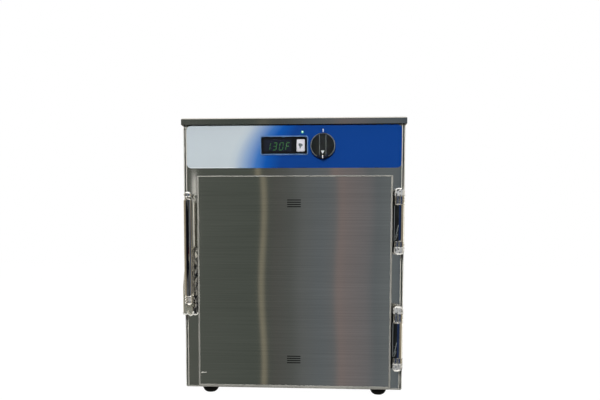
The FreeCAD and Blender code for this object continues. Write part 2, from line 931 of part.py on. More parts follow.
def make_fan_bracket():
    # A bridge plate that holds the motor clear of the hot wall, with a foot on each side
    plate_y = (motor_front_y - bracket_sheet, motor_front_y)
    half = motor_stack_size / 2 + bracket_sheet
    seat = chamber_rear_y + liner_sheet
    parts = [box(about(chamber_x, 2 * half), plate_y, about(fan_z, bracket_width))]
    for side in (-1, 1):
        leg_x = between(chamber_x + side * half, chamber_x + side * (half - bracket_sheet))
        ear_x = between(chamber_x + side * (half - bracket_sheet), chamber_x + side * (half + bracket_ear))
        parts.append(box(leg_x, (seat, plate_y[1]), about(fan_z, bracket_width)))
        parts.append(box(ear_x, (seat, seat + bracket_sheet), about(fan_z, bracket_width)))
    hole = rod(Vector(chamber_x, seat, fan_z), Vector(chamber_x, plate_y[1] + past, fan_z),
               fan_shaft_radius + fan_shaft_hole_gap)
    return fused(parts).cut(hole)


def make_fan_motor():
    # Lamination stack with a bearing bridge across its rear
    rear = motor_front_y + motor_stack_depth
    stack = box(about(chamber_x, motor_stack_size), (motor_front_y, rear), about(fan_z, motor_stack_size))
    stack = bevelled(stack, rearward, motor_stack_chamfer)
    bridge = box(about(chamber_x, motor_stack_size - 2 * motor_stack_chamfer),
                 (rear, rear + motor_bridge_depth), about(fan_z, motor_bridge_width))
    boss_start = rear + motor_bridge_depth
    boss = rod(Vector(chamber_x, boss_start, fan_z), Vector(chamber_x, boss_start + motor_boss_depth, fan_z),
               motor_boss_radius)
    bore = rod(Vector(chamber_x, motor_front_y - past, fan_z), Vector(chamber_x, rear, fan_z),
               fan_shaft_radius + running_gap)
    return fused([stack, bridge, boss]).cut(bore)


def make_fan_shaft():
    start = Vector(chamber_x, motor_front_y + motor_stack_depth - fan_shaft_end, fan_z)
    end = Vector(chamber_x, impeller_back_y - impeller_width + fan_shaft_end, fan_z)
    return rod(start, end, fan_shaft_radius)


def make_fan_impeller():
    # Radial wheel: back plate, hub and backward leaning blades
    front = impeller_back_y - impeller_width
    parts = [rod(Vector(chamber_x, impeller_back_y - impeller_plate, fan_z),
                 Vector(chamber_x, impeller_back_y, fan_z), impeller_radius),
             rod(Vector(chamber_x, impeller_back_y - impeller_hub_length, fan_z),
                 Vector(chamber_x, impeller_back_y, fan_z), impeller_hub_radius)]
    lean = math.radians(impeller_blade_sweep)
    length = (impeller_radius - impeller_blade_root) / math.cos(lean) - impeller_blade_rim
    blade = box((0, length), (front, impeller_back_y - impeller_plate / 2),
                about(0, impeller_blade_thickness))
    blade.rotate(Vector(0, 0, 0), rearward, impeller_blade_sweep)
    blade.translate(Vector(impeller_blade_root, 0, 0))
    for step in range(impeller_blade_count):
        turned_blade = blade.copy()
        turned_blade.rotate(Vector(0, 0, 0), rearward, 360.0 * step / impeller_blade_count)
        turned_blade.translate(Vector(chamber_x, 0, fan_z))
        parts.append(turned_blade)
    bore = rod(Vector(chamber_x, front, fan_z), Vector(chamber_x, impeller_back_y + past, fan_z),
               fan_shaft_radius + press_gap)
    return fused(parts).cut(bore)


# Control compartment

def board_corners():
    half_x = control_board_width / 2 - standoff_inset
    half_y = control_board_length / 2 - standoff_inset
    return [Vector(control_board_x + side * half_x, front_y + control_board_depth + end * half_y, tray_top)
            for side in (-1, 1) for end in (-1, 1)]


def make_control_tray():
    y_range = (board_y + tray_front_gap, inner_rear_y - case_sheet - seat_gap)
    parts = [box((-tray_half, tray_half), y_range, (tray_z, tray_top))]
    for side in (-1, 1):
        parts.append(box(between(side * tray_half, side * (tray_half - tray_sheet)), y_range,
                         (tray_z, tray_z + tray_flange)))
    parts += [hexagon(place, standoff_flats, upward * standoff_height) for place in board_corners()]
    return fused(parts)


def make_control_board():
    # Board with a transformer, a chip, two capacitors and a row of connectors along its front edge
    y = front_y + control_board_depth
    bottom = tray_top + standoff_height
    top = bottom + board_thickness
    left = control_board_x - control_board_width / 2 + board_part_margin
    right = control_board_x + control_board_width / 2 - board_part_margin
    front = y - control_board_length / 2 + board_part_margin
    rear = y + control_board_length / 2 - board_part_margin
    parts = [box(about(control_board_x, control_board_width), about(y, control_board_length), (bottom, top)),
             box((left, left + transformer_width), (rear - transformer_length, rear),
                 (top, top + transformer_height)),
             box(about(control_board_x, chip_width), about(y, chip_length), (top, top + chip_height))]
    for step in range(capacitor_count):
        x = right - capacitor_radius - step * (2 * capacitor_radius + board_part_margin)
        foot = Vector(x, rear - capacitor_radius, top)
        parts.append(Part.makeCylinder(capacitor_radius, capacitor_height, foot))
    pitch = (right - left) / connector_count
    for step in range(connector_count):
        x = left + pitch / 2 + pitch * step
        parts.append(box(about(x, connector_width), (front, front + connector_length),
                         (top, top + connector_height)))
    return fused(parts)


def make_heater_relay():
    # Block with a screw notch at each end and four raised terminal lugs
    y = front_y + relay_depth
    top = tray_top + relay_height
    body = box(about(relay_x, relay_width), about(y, relay_length), (tray_top, top))
    notches = []
    lugs = []
    for end in (-1, 1):
        notch_y = about(y + end * relay_length / 2, 2 * relay_notch_length)
        lug_y = about(y + end * relay_length / 4, relay_lug_width)
        notches.append(box(about(relay_x, relay_notch_width), notch_y, (tray_top - past, top + past)))
        for side in (-1, 1):
            lugs.append(box(about(relay_x + side * relay_width / 4, relay_lug_width), lug_y,
                            (top, top + relay_lug_height)))
    return fused([body.cut(notches)] + lugs)


def make_terminal_block():
    width = terminal_count * terminal_pitch
    top = tray_top + terminal_height
    body = box(about(terminal_x, width), about(terminal_y, terminal_length), (tray_top, top))
    pockets = []
    for step in range(terminal_count):
        x = terminal_x - width / 2 + terminal_pitch / 2 + step * terminal_pitch
        for end in (-1, 1):
            pockets.append(box(about(x, terminal_pitch - 2 * terminal_wall),
                               about(terminal_y + end * terminal_length / 2, terminal_length / 2),
                               (tray_top + terminal_height / 2, top + past)))
    return body.cut(pockets)


def make_fuse_holder():
    y = front_y + fuse_depth
    seat = tray_top + fuse_base_height
    base = box(about(fuse_x, fuse_base_width), about(y, fuse_base_length), (tray_top, seat))
    axis_z = seat + fuse_tube_radius + fuse_clip_sheet
    half = fuse_base_length / 3
    tube = rod(Vector(fuse_x, y - half, axis_z), Vector(fuse_x, y + half, axis_z), fuse_tube_radius)
    clip_width = 2 * fuse_tube_radius + 2 * fuse_clip_sheet
    clips = [box(about(fuse_x, clip_width), about(y + end * half, fuse_clip_length), (seat, axis_z))
             for end in (-1, 1)]
    return fused([base, tube] + clips)


# Control panel

def make_control_overlay():
    half = body_width / 2 - overlay_side_margin
    plate = plate_xz((-half, half), (overlay_face_y, front_y), about(overlay_z, overlay_height),
                     overlay_corner_radius)
    return plate.cut(panel_cutters((overlay_face_y - past, front_y + past)))


def make_display_bezel():
    # Front frame with a hollow housing behind it, open at the rear and at the window
    face = plate_xz(about(display_x, bezel_width), (bezel_front_y, overlay_face_y),
                    about(display_z, bezel_height), bezel_corner_radius)
    face = face.makeChamfer(bezel_edge_bevel, edges_at_y(face, bezel_front_y))
    housing = box(about(display_x, housing_width), (overlay_face_y, board_y),
                  about(display_z, housing_height))
    recess = plate_xz(about(display_x, bezel_width - 2 * bezel_rim), (bezel_front_y - past, window_back_y),
                      about(display_z, bezel_height - 2 * bezel_rim), bezel_corner_radius - bezel_rim)
    hollow = box(about(display_x, housing_width - 2 * housing_wall), (bezel_front_y - past, board_y + past),
                 about(display_z, housing_height - 2 * housing_wall))
    return fused([face, housing]).cut([recess, hollow])


def make_display_window():
    rim = bezel_rim + press_gap
    window = plate_xz(about(display_x, bezel_width - 2 * rim), (window_front_y, window_back_y),
                      about(display_z, bezel_height - 2 * rim), bezel_corner_radius - bezel_rim)
    opening = plate_xz(about(key_x, key_width + 2 * key_gap), (window_front_y - past, window_back_y + past),
                       about(key_z, key_height + 2 * key_gap), key_corner_radius + key_gap)
    return window.cut(opening)


def make_set_key():
    # Key cap with a flange behind the window and a stem towards the switch on the board
    face_y = window_front_y - key_proud
    flange_y = (window_back_y + seat_gap, window_back_y + seat_gap + key_flange_thickness)
    cap = plate_xz(about(key_x, key_width), (face_y, flange_y[1]), about(key_z, key_height),
                   key_corner_radius)
    cap = cap.makeChamfer(key_edge_bevel, edges_at_y(cap, face_y))
    flange = box(about(key_x, key_width + 2 * key_flange), flange_y,
                 about(key_z, key_height - 2 * key_corner_radius))
    stem = box(about(key_x, key_stem_width), (flange_y[0], key_switch_y - key_travel - seat_gap),
               about(key_z, key_stem_width))
    return fused([cap, flange, stem])


def make_display_board():
    # Board behind the housing with the digit module and the key's small switch on it
    board = box(about(display_x, housing_width), (board_y, board_y + board_thickness),
                about(display_z, housing_height))
    switch = box(about(key_x, key_stem_width), (key_switch_y, board_y), about(key_z, key_stem_width))
    module_left = display_x - housing_width / 2 + housing_wall + digit_module_margin
    module_right = key_x - key_width / 2 - key_flange - digit_module_margin
    module_height = housing_height - 2 * housing_wall - digit_module_margin
    module = box((module_left, module_right), (window_back_y + seat_gap, board_y),
                 about(display_z, module_height))
    return fused([board, switch, module])


def make_indicator_lamp():
    # Lens with a blunt tip in front of the overlay, held by a flange behind the front sheet
    length = case_sheet + overlay_thickness + lamp_body_length
    steps = [(lamp_radius, -length), (lamp_radius, lamp_proud),
             (lamp_tip_radius, lamp_proud + lamp_tip_height)]
    lens = turned(steps, Vector(lamp_x, overlay_face_y, lamp_z), ahead)
    flange = hexagon(Vector(lamp_x, inner_front_y, lamp_z), lamp_flange_flats, rearward * lamp_flange_height)
    return fused([lens, flange])


# Rotary switch and knob

def along_knob(depth):
    return Vector(knob_x, front_y + depth, knob_z)


def flatted_shaft(radius, start, end):
    # Round shaft with one flat on its upper side
    near, far = between(start, end)
    lid = box(about(knob_x, 4 * radius), (front_y + near - past, front_y + far + past),
              (knob_z + switch_shaft_radius - switch_shaft_flat, knob_z + 2 * radius))
    return rod(along_knob(start), along_knob(end), radius).cut(lid)


def make_rotary_switch():
    rear = inner_front_y + switch_body_depth
    body = box(about(knob_x, switch_body_width), (inner_front_y, rear), about(knob_z, switch_body_height))
    mouth = -overlay_thickness - switch_bushing_reach
    bushing = rod(along_knob(case_sheet), along_knob(mouth), switch_bushing_radius)
    tabs = [box(about(knob_x + side * switch_body_width / 4, tab_thickness), (rear, rear + tab_length),
                about(knob_z + end * switch_body_height / 4, tab_width))
            for side in (-1, 1) for end in (-1, 1)]
    bore = rod(along_knob(switch_shaft_root + seat_gap), along_knob(mouth - past),
               switch_shaft_radius + running_gap)
    return fused([body, bushing] + tabs).cut(bore)


def make_switch_nut():
    seat = along_knob(-overlay_thickness)
    hole = rod(seat, seat + ahead * switch_nut_height, switch_bushing_radius + running_gap)
    return hexagon(seat, switch_nut_flats, ahead * switch_nut_height).cut(hole)


def make_switch_shaft():
    mouth = -overlay_thickness - switch_bushing_reach
    tip = -overlay_thickness - switch_shaft_reach
    round_part = rod(along_knob(switch_shaft_root), along_knob(mouth), switch_shaft_radius)
    return fused([round_part, flatted_shaft(switch_shaft_radius, mouth, tip)])


def make_control_knob():
    # Round skirt with a grip bar across it, left standing between two concave scoops
    back = -overlay_thickness - knob_lift
    skirt = turned([(knob_radius, 0), (knob_radius, knob_skirt_height - knob_skirt_bevel),
                    (knob_radius - knob_skirt_bevel, knob_skirt_height)], along_knob(back), ahead)
    grip = turned([(knob_grip_radius, knob_skirt_height / 2),
                   (knob_grip_radius, knob_height - knob_grip_bevel),
                   (knob_grip_radius - knob_grip_bevel, knob_height)], along_knob(back), ahead)
    rim_y = front_y + back - knob_skirt_height
    front = rim_y - knob_height
    tall = about(knob_z, 4 * knob_radius)
    for side in (-1, 1):
        axis_x = knob_x + side * (knob_grip_width / 2 + knob_scoop_radius)
        scoop = rod(Vector(axis_x, rim_y - knob_scoop_radius, tall[0]),
                    Vector(axis_x, rim_y - knob_scoop_radius, tall[1]), knob_scoop_radius)
        beyond = box(between(axis_x, knob_x + side * 2 * knob_radius), (front, rim_y), tall)
        over = box(between(knob_x + side * knob_grip_width / 2, axis_x),
                   (front, rim_y - knob_scoop_radius), tall)
        grip = grip.cut([scoop, beyond, over])
    recess = hexagon(along_knob(back), knob_recess_flats, ahead * knob_recess_depth)
    bore = flatted_shaft(switch_shaft_radius + press_gap, 0,
                         -overlay_thickness - switch_shaft_reach - seat_gap)
    return fused([skirt, grip]).cut([recess, bore])


# Hinges

def hinge_spans(centre):
    # Heights where a hinge's knuckles begin and end, from the bottom up
    low = centre - hinge_height / 2
    high = centre + hinge_height / 2
    return low, low + hinge_bottom_knuckle, high - hinge_top_knuckle, high


def hinge_point(z):
    return Vector(hinge_axis_x, hinge_axis_y, z)


def end_knuckle(flat_z, tip_z):
    # Barrel whose free end narrows to a small flat, with a web that slopes down to the leaf
    away = upward if tip_z > flat_z else upward * -1
    length = abs(tip_z - flat_z)
    shoulder = length - hinge_tip_height
    barrel = turned([(hinge_barrel_radius, 0), (hinge_barrel_radius, shoulder), (hinge_tip_radius, length)],
                    hinge_point(flat_z), away)
    web_front = hinge_axis_y - hinge_barrel_radius + hinge_web_front_inset
    root = Vector(door_right, web_front, flat_z)
    run = Vector(hinge_axis_x - door_right, 0, 0)
    outline = [root, root + run, root + run + away * shoulder, root + away * (shoulder - hinge_web_drop)]
    web = prism(outline, rearward * (hinge_axis_y + hinge_web_rear_reach - web_front))
    return [barrel, web]


def make_hinge_door_leaf(centre):
    # Leaf on the door's edge, with a knuckle at each end
    low, first, last, high = hinge_spans(centre)
    taper = hinge_tip_height + hinge_web_drop
    leaf = box((door_right, door_right + hinge_leaf_thickness),
               (door_front_y + hinge_leaf_thickness, door_back_y), (low + taper, high - taper))
    parts = [leaf] + end_knuckle(first - knuckle_gap / 2, low) + end_knuckle(last + knuckle_gap / 2, high)
    bore = rod(hinge_point(low + hinge_pin_end_margin - seat_gap),
               hinge_point(high - hinge_pin_end_margin + seat_gap), hinge_pin_radius + running_gap)
    return fused(parts).cut(bore)


def make_hinge_frame_leaf(centre):
    # Plate on the case front with a strap to the middle barrel, whose side towards the door is open
    low, first, last, high = hinge_spans(centre)
    z_range = (first + knuckle_gap / 2, last - knuckle_gap / 2)
    right = hinge_axis_x + hinge_barrel_radius
    plate = box((door_right + hinge_leaf_thickness + hinge_leaf_gap, right - hinge_plate_inset),
                (front_y - hinge_plate_thickness, front_y), (low, high))
    plate = bevelled(plate, rearward, hinge_plate_bevel)
    barrel = rod(hinge_point(z_range[0]), hinge_point(z_range[1]), hinge_barrel_radius)
    strap = box((hinge_axis_x - hinge_strap_reach, right), (hinge_axis_y, front_y), z_range)
    seat = rod(hinge_point(z_range[0] - past), hinge_point(z_range[1] + past), hinge_cam_radius + seat_gap)
    mouth = box((door_right, hinge_axis_x - hinge_mouth_edge),
                (hinge_axis_y - 2 * hinge_barrel_radius, hinge_axis_y + hinge_mouth_depth),
                (z_range[0] - past, z_range[1] + past))
    return fused([plate, barrel, strap]).cut([seat, mouth])


def make_hinge_cam(centre):
    # Plastic cam in the middle barrel: a turning half below, a fixed half above, and a gap between
    low, first, last, high = hinge_spans(centre)
    split = first + hinge_cam_split
    halves = [(first + knuckle_gap / 2, split - hinge_cam_gap / 2),
              (split + hinge_cam_gap / 2, last - knuckle_gap / 2)]
    bore = rod(hinge_point(low), hinge_point(high), hinge_pin_radius + running_gap)
    return grouped([rod(hinge_point(start), hinge_point(end), hinge_cam_radius).cut(bore)
                    for start, end in halves])


def make_hinge_pin(centre):
    half = hinge_height / 2 - hinge_pin_end_margin
    return rod(hinge_point(centre - half), hinge_point(centre + half), hinge_pin_radius)


def for_each_hinge(make):
    return grouped([make(centre) for centre in hinge_centres])


# Door

def door_ranges(inset):
    return (door_left + inset, door_right - inset), (door_bottom + inset, door_top - inset)


def vent_slots():
    slots = []
    cut_y = (door_front_y - past, door_front_y + door_sheet + past)
    for centre in (door_top - vent_upper_drop, door_bottom + vent_lower_rise):
        first = centre - (vent_slot_count - 1) * vent_slot_pitch / 2
        for step in range(vent_slot_count):
            slots.append(box(about(door_x, vent_slot_length), cut_y,
                             about(first + step * vent_slot_pitch, vent_slot_height)))
    return slots


def make_door_outer_pan():
    x_range, z_range = door_ranges(0)
    outer = plate_xz(x_range, (door_front_y, door_back_y), z_range, door_corner_radius)
    outer = outer.makeFillet(door_edge_radius, edges_at_y(outer, door_front_y))
    inner_x, inner_z = door_ranges(door_sheet)
    hollow = plate_xz(inner_x, (door_front_y + door_sheet, door_back_y + past), inner_z,
                      door_corner_radius - door_sheet)
    return outer.cut([hollow] + vent_slots())


def make_door_inner_pan():
    inner_x, inner_z = door_ranges(door_sheet + seat_gap)
    front = door_back_y - inner_pan_flange
    outer = plate_xz(inner_x, (front, door_back_y), inner_z, door_corner_radius)
    hollow_x, hollow_z = door_ranges(2 * door_sheet + seat_gap)
    return outer.cut(plate_xz(hollow_x, (front - past, door_back_y - door_sheet), hollow_z,
                              door_corner_radius - door_sheet))


def make_door_insulation():
    # Slab that fills the door between its two pans
    inner_x, inner_z = door_ranges(2 * door_sheet + door_wool_margin)
    clear = door_sheet + seat_gap
    return box(inner_x, (door_front_y + clear, door_back_y - clear), inner_z)


def make_door_gasket():
    x_range, z_range = door_ranges(gasket_inset)
    face_y = front_y - seat_gap
    ring = plate_xz(x_range, (door_back_y, face_y), z_range, gasket_corner_radius)
    inner_x, inner_z = door_ranges(gasket_inset + gasket_width)
    ring = ring.cut(box(inner_x, (door_back_y - past, face_y + past), inner_z))
    return ring.makeChamfer(gasket_edge_bevel, edges_at_y(ring, face_y))


# Latch

def latch_outline():
    # Front outline: lobes along the bottom, a bulge at the lower left, a waist above it and a bevelled top
    top = latch_bottom + latch_base_height
    lobe_z = latch_bottom + latch_lobe_height
    slim = latch_left + latch_waist
    width = latch_base_width / latch_lobe_count
    points = []
    for lobe in range(latch_lobe_count):
        start = latch_left + width * lobe
        points += [(start, lobe_z), (start + width / 4, latch_bottom), (start + 3 * width / 4, latch_bottom)]
    points += [(latch_right, lobe_z), (latch_right, top - latch_lobe_height),
               (latch_right - latch_lobe_height, top), (slim + latch_lobe_height, top),
               (slim, top - latch_lobe_height), (slim, top - latch_shoulder_height),
               (latch_left, latch_bottom + latch_bulge_height)]
    return [Vector(x, latch_front_y, z) for x, z in points]


def make_latch_base():
    # Body with a sloping top face, and a slot that the lever swings in
    body = prism(latch_outline(), rearward * (latch_base_proud - latch_base_back))
    body = body.makeChamfer(latch_edge_bevel, edges_at_y(body, latch_front_y))
    top = latch_bottom + latch_base_height
    slope_back = latch_front_y + latch_slope_depth
    wedge = [(latch_front_y - past, top - latch_slope_height), (latch_front_y, top - latch_slope_height),
             (slope_back, top), (slope_back, top + past), (latch_front_y - past, top + past)]
    slope = prism([Vector(latch_left - past, y, z) for y, z in wedge],
                  rightward * (latch_base_width + 2 * past))
    slot = box(about(latch_x, 2 * (lever_foot_radius + latch_slot_gap)),
               (latch_front_y - past, front_y - latch_slot_floor),
               (lever_foot_z - latch_swing_room, top + past))
    pin = rod(Vector(latch_left - past, lever_pivot_y, lever_pivot_z),
              Vector(latch_right - latch_pin_cover, lever_pivot_y, lever_pivot_z),
              lever_pin_radius + press_gap)
    back = front_y - latch_base_back
    magnet = box(about(latch_x, magnet_width + 2 * press_gap), (back - magnet_depth, back + past),
                 about(latch_middle_z, magnet_height + 2 * press_gap))
    return body.cut([slope, slot, pin, magnet])


def make_latch_magnet():
    back = front_y - latch_base_back
    return box(about(latch_x, magnet_width), (back - magnet_depth, back),
               about(latch_middle_z, magnet_height))


def make_strike_plate():
    return plate_xz(about(latch_x, strike_width), (front_y - strike_thickness, front_y),
                    about(latch_middle_z, strike_height), strike_corner_radius)


def make_latch_pin():
    right = latch_right - latch_pin_cover - seat_gap
    return rod(Vector(latch_left + latch_pin_cover, lever_pivot_y, lever_pivot_z),
               Vector(right, lever_pivot_y, lever_pivot_z), lever_pin_radius)


def ball_steps():
    # Turned ball in flat bands, open at both poles by half a band
    steps = []
    for band in range(lever_ball_bands + 1):
        angle = math.pi * (band + 1 / 2) / (lever_ball_bands + 1) - math.pi / 2
        steps.append((lever_ball_radius * math.cos(angle), lever_ball_height / 2 * (1 + math.sin(angle))))
    return steps


def foot_steps():
    # Narrow end, then turned beads with a groove below each and above the last
    steps = [(lever_foot_end_radius, 0)]
    for bead in range(lever_bead_count):
        z = lever_foot_end_height + bead * lever_bead_height
        steps.append((lever_groove_radius, z))
        steps.append((lever_foot_radius, z + lever_bead_height / 3))
        steps.append((lever_foot_radius, z + 2 * lever_bead_height / 3))
    steps.append((lever_groove_radius, lever_foot_end_height + lever_bead_count * lever_bead_height))
    return steps


def make_latch_lever():
    # Bevelled bar with a beaded foot at the pin and a ball at its upper end
    half = lever_width / 2
    edge_y = lever_front_y + lever_crown
    back_y = lever_front_y + lever_thickness
    section = [(-half, edge_y), (-lever_flat / 2, lever_front_y), (lever_flat / 2, lever_front_y),
               (half, edge_y), (half, back_y), (-half, back_y)]
    outline = [Vector(latch_x + x, y, lever_pivot_z) for x, y in section]
    ball_foot = lever_top - lever_ball_height
    bar = prism(outline, upward * (ball_foot - lever_neck_height - lever_pivot_z))
    ball_axis = Vector(latch_x, lever_front_y + lever_ball_radius, ball_foot)
    neck = rod(ball_axis - upward * 2 * lever_neck_height, ball_axis + upward * lever_ball_height / 2,
               lever_neck_radius)
    pivot = Vector(latch_x, lever_pivot_y, lever_pivot_z)
    boss = rod(pivot - rightward * half, pivot + rightward * half, lever_boss_radius)
    web = box((latch_x - half, latch_x + half), (back_y - past, lever_pivot_y),
              (lever_pivot_z, lever_pivot_z + lever_boss_radius))
    foot_axis = Vector(latch_x, lever_front_y + lever_foot_radius + seat_gap, lever_foot_z)
    foot = turned(foot_steps(), foot_axis, upward)
    ball = turned(ball_steps(), ball_axis, upward)
    bore = rod(pivot - rightward * lever_width, pivot + rightward * lever_width,
               lever_pin_radius + running_gap)
    return fused([bar, boss, web, foot, neck, ball]).cut(bore)


# Power inlet and harness

def make_power_inlet():
    # Flanged inlet with a three pin socket, and tabs behind it
    flange = plate_xz(about(inlet_x, inlet_flange_width), (rear_y, rear_y + inlet_flange_thickness),
                      about(inlet_z, inlet_flange_height), inlet_corner_radius)
    body = box(about(inlet_x, inlet_body_width), (rear_y - inlet_body_depth, rear_y),
               about(inlet_z, inlet_body_height))
    mouth = rear_y + inlet_flange_thickness
    half_w = inlet_socket_width / 2
    half_h = inlet_socket_height / 2
    corner = inlet_socket_chamfer
    outline = [(-half_w, -half_h), (half_w, -half_h), (half_w, half_h - corner), (half_w - corner, half_h),
               (corner - half_w, half_h), (-half_w, half_h - corner)]
    socket = prism([Vector(inlet_x + x, mouth + past, inlet_z + z) for x, z in outline],
                   ahead * (inlet_socket_depth + past))
    floor_y = mouth - inlet_socket_depth
    body_back = rear_y - inlet_body_depth
    pins = []
    tabs = []
    for step, lift in ((-1, -inlet_pin_lift), (0, inlet_pin_lift), (1, -inlet_pin_lift)):
        x = inlet_x + step * inlet_pin_spread
        pins.append(box(about(x, inlet_pin_thickness), (floor_y - past, floor_y + inlet_pin_length),
                        about(inlet_z + lift, inlet_pin_width)))
        tabs.append(box(about(x, tab_thickness), (body_back - tab_length, body_back),
                        about(inlet_z, tab_width)))
    return fused([fused([flange, body] + tabs).cut(socket)] + pins)


def make_supply_harness():
    # Three insulated leads from the inlet, over the tray, to the terminal block
    leads = []
    end_y = terminal_y + terminal_length / 2
    start_y = rear_y - inlet_body_depth - tab_length - seat_gap
    low = tray_top + terminal_height / 2 + harness_radius
    for step in (-1, 0, 1):
        x = inlet_x + step * inlet_pin_spread
        end_x = terminal_x + step * terminal_pitch
        points = [Vector(x, start_y, inlet_z), Vector(x, start_y - harness_run, inlet_z),
                  Vector(end_x, end_y + harness_run, low), Vector(end_x, end_y + seat_gap, low)]
        leads.append(bent_wire(points, [harness_bend_radius] * 2, harness_radius))
    return grouped(leads)


# Every piece by name

def all_pieces():
    return {
        "cabinet_shell": make_cabinet_shell(),
        "top_cap": make_top_cap(),
        "rear_panel": make_rear_panel(),
        "base_pan": make_base_pan(),
        "rubber_feet": make_rubber_feet(),
        "chamber_liner": make_chamber_liner(),
        "insulation_sides": make_insulation_sides(),
        "insulation_top": make_insulation_top(),
        "insulation_bottom": make_insulation_bottom(),
        "insulation_rear": make_insulation_rear(),
        "air_baffle": make_air_baffle(),
        "shelf_rails": make_shelf_rails(),
        "wire_shelf": make_wire_shelf(),
        "temperature_probe": make_temperature_probe(),
        "limit_switch": make_limit_switch(),
        "heater_element": make_heater_element(),
        "heater_clips": make_heater_clips(),
        "fan_bracket": make_fan_bracket(),
        "fan_motor": make_fan_motor(),
        "fan_shaft": make_fan_shaft(),
        "fan_impeller": make_fan_impeller(),
        "control_tray": make_control_tray(),
        "control_board": make_control_board(),
        "heater_relay": make_heater_relay(),
        "terminal_block": make_terminal_block(),
        "fuse_holder": make_fuse_holder(),
        "power_inlet": make_power_inlet(),
        "supply_harness": make_supply_harness(),
        "control_overlay": make_control_overlay(),
        "display_bezel": make_display_bezel(),
        "display_window": make_display_window(),
        "display_board": make_display_board(),
        "set_key": make_set_key(),
        "indicator_lamp": make_indicator_lamp(),
        "rotary_switch": make_rotary_switch(),
        "switch_nut": make_switch_nut(),
        "switch_shaft": make_switch_shaft(),
        "control_knob": make_control_knob(),
        "hinge_frame_leaves": for_each_hinge(make_hinge_frame_leaf),
        "hinge_door_leaves": for_each_hinge(make_hinge_door_leaf),
        "hinge_pins": for_each_hinge(make_hinge_pin),
        "hinge_cams": for_each_hinge(make_hinge_cam),
        "door_outer_pan": make_door_outer_pan(),
        "door_inner_pan": make_door_inner_pan(),
        "door_insulation": make_door_insulation(),
        "door_gasket": make_door_gasket(),
        "strike_plate": make_strike_plate(),
        "latch_base": make_latch_base(),
        "latch_magnet": make_latch_magnet(),
        "latch_pin": make_latch_pin(),
        "latch_lever": make_latch_lever(),
    }


os.makedirs("parts", exist_ok=True)
for piece_name, piece_shape in all_pieces().items():
    piece_shape.exportStep("parts/" + piece_name + ".step")
    print(piece_name, "solids", len(piece_shape.Solids), "valid", piece_shape.isValid())
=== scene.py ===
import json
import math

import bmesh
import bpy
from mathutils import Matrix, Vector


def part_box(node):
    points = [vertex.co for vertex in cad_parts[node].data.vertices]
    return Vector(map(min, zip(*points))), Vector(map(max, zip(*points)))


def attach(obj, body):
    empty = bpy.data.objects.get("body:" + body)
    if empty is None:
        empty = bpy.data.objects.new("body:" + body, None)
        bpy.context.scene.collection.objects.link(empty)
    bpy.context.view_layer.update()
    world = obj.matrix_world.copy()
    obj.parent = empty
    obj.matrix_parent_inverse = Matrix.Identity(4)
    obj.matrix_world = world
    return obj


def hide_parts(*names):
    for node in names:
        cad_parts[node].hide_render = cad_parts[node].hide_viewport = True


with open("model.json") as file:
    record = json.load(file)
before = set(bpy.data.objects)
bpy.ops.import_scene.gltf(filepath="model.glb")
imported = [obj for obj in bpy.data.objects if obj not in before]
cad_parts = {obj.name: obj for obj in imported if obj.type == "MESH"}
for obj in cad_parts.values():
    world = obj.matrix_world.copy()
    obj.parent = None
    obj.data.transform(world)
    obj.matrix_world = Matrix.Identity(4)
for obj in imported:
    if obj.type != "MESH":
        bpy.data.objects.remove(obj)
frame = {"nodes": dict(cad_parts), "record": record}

# %% [markdown]
# # A blanket warmer cabinet in brushed steel and chrome
#
# The cabinet is a plain steel box, so nearly all of its looks come from finishes: brushed sheet,
# bright chrome, printed film, dark glass and black plastic. The solids come ready made from the
# frame. This lesson gives them their finishes, adds the small pieces that a drawing leaves out,
# and lights the whole as a product photographer would.

scene = bpy.context.scene
mm = 0.001
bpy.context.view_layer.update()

# %% [markdown]
# ## Where things are
#
# A node's box says where it is, so no size is typed twice. A small function turns the corners into
# millimetres, which are easier to read, and gives the middle as well.

# %% Places of the main parts
from types import SimpleNamespace


def place_of(node):
    low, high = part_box(node)
    low, high = low / mm, high / mm
    return SimpleNamespace(low=low, high=high, mid=(low + high) / 2, size=high - low)


door = place_of("door_outer_pan")
overlay = place_of("control_overlay")
window = place_of("display_window")
bezel = place_of("display_bezel")
key = place_of("set_key")
lamp = place_of("indicator_lamp")
knob = place_of("control_knob")
lever = place_of("latch_lever")
latch = place_of("latch_base")
shell = place_of("cabinet_shell")
lid = place_of("top_cap")
print("door", [round(v, 1) for v in door.size], "overlay", [round(v, 1) for v in overlay.size])

# %% [markdown]
# ## Shader maths that reads like maths
#
# A finish is a network of nodes, and a network built line by line is hard to read. The class below
# wraps one output of a node. Adding, multiplying or comparing two of them adds a Math node, so a
# mask can be written as `edge * (1 - wear)`. Every other node comes from the method `node`.

# %% The wire class


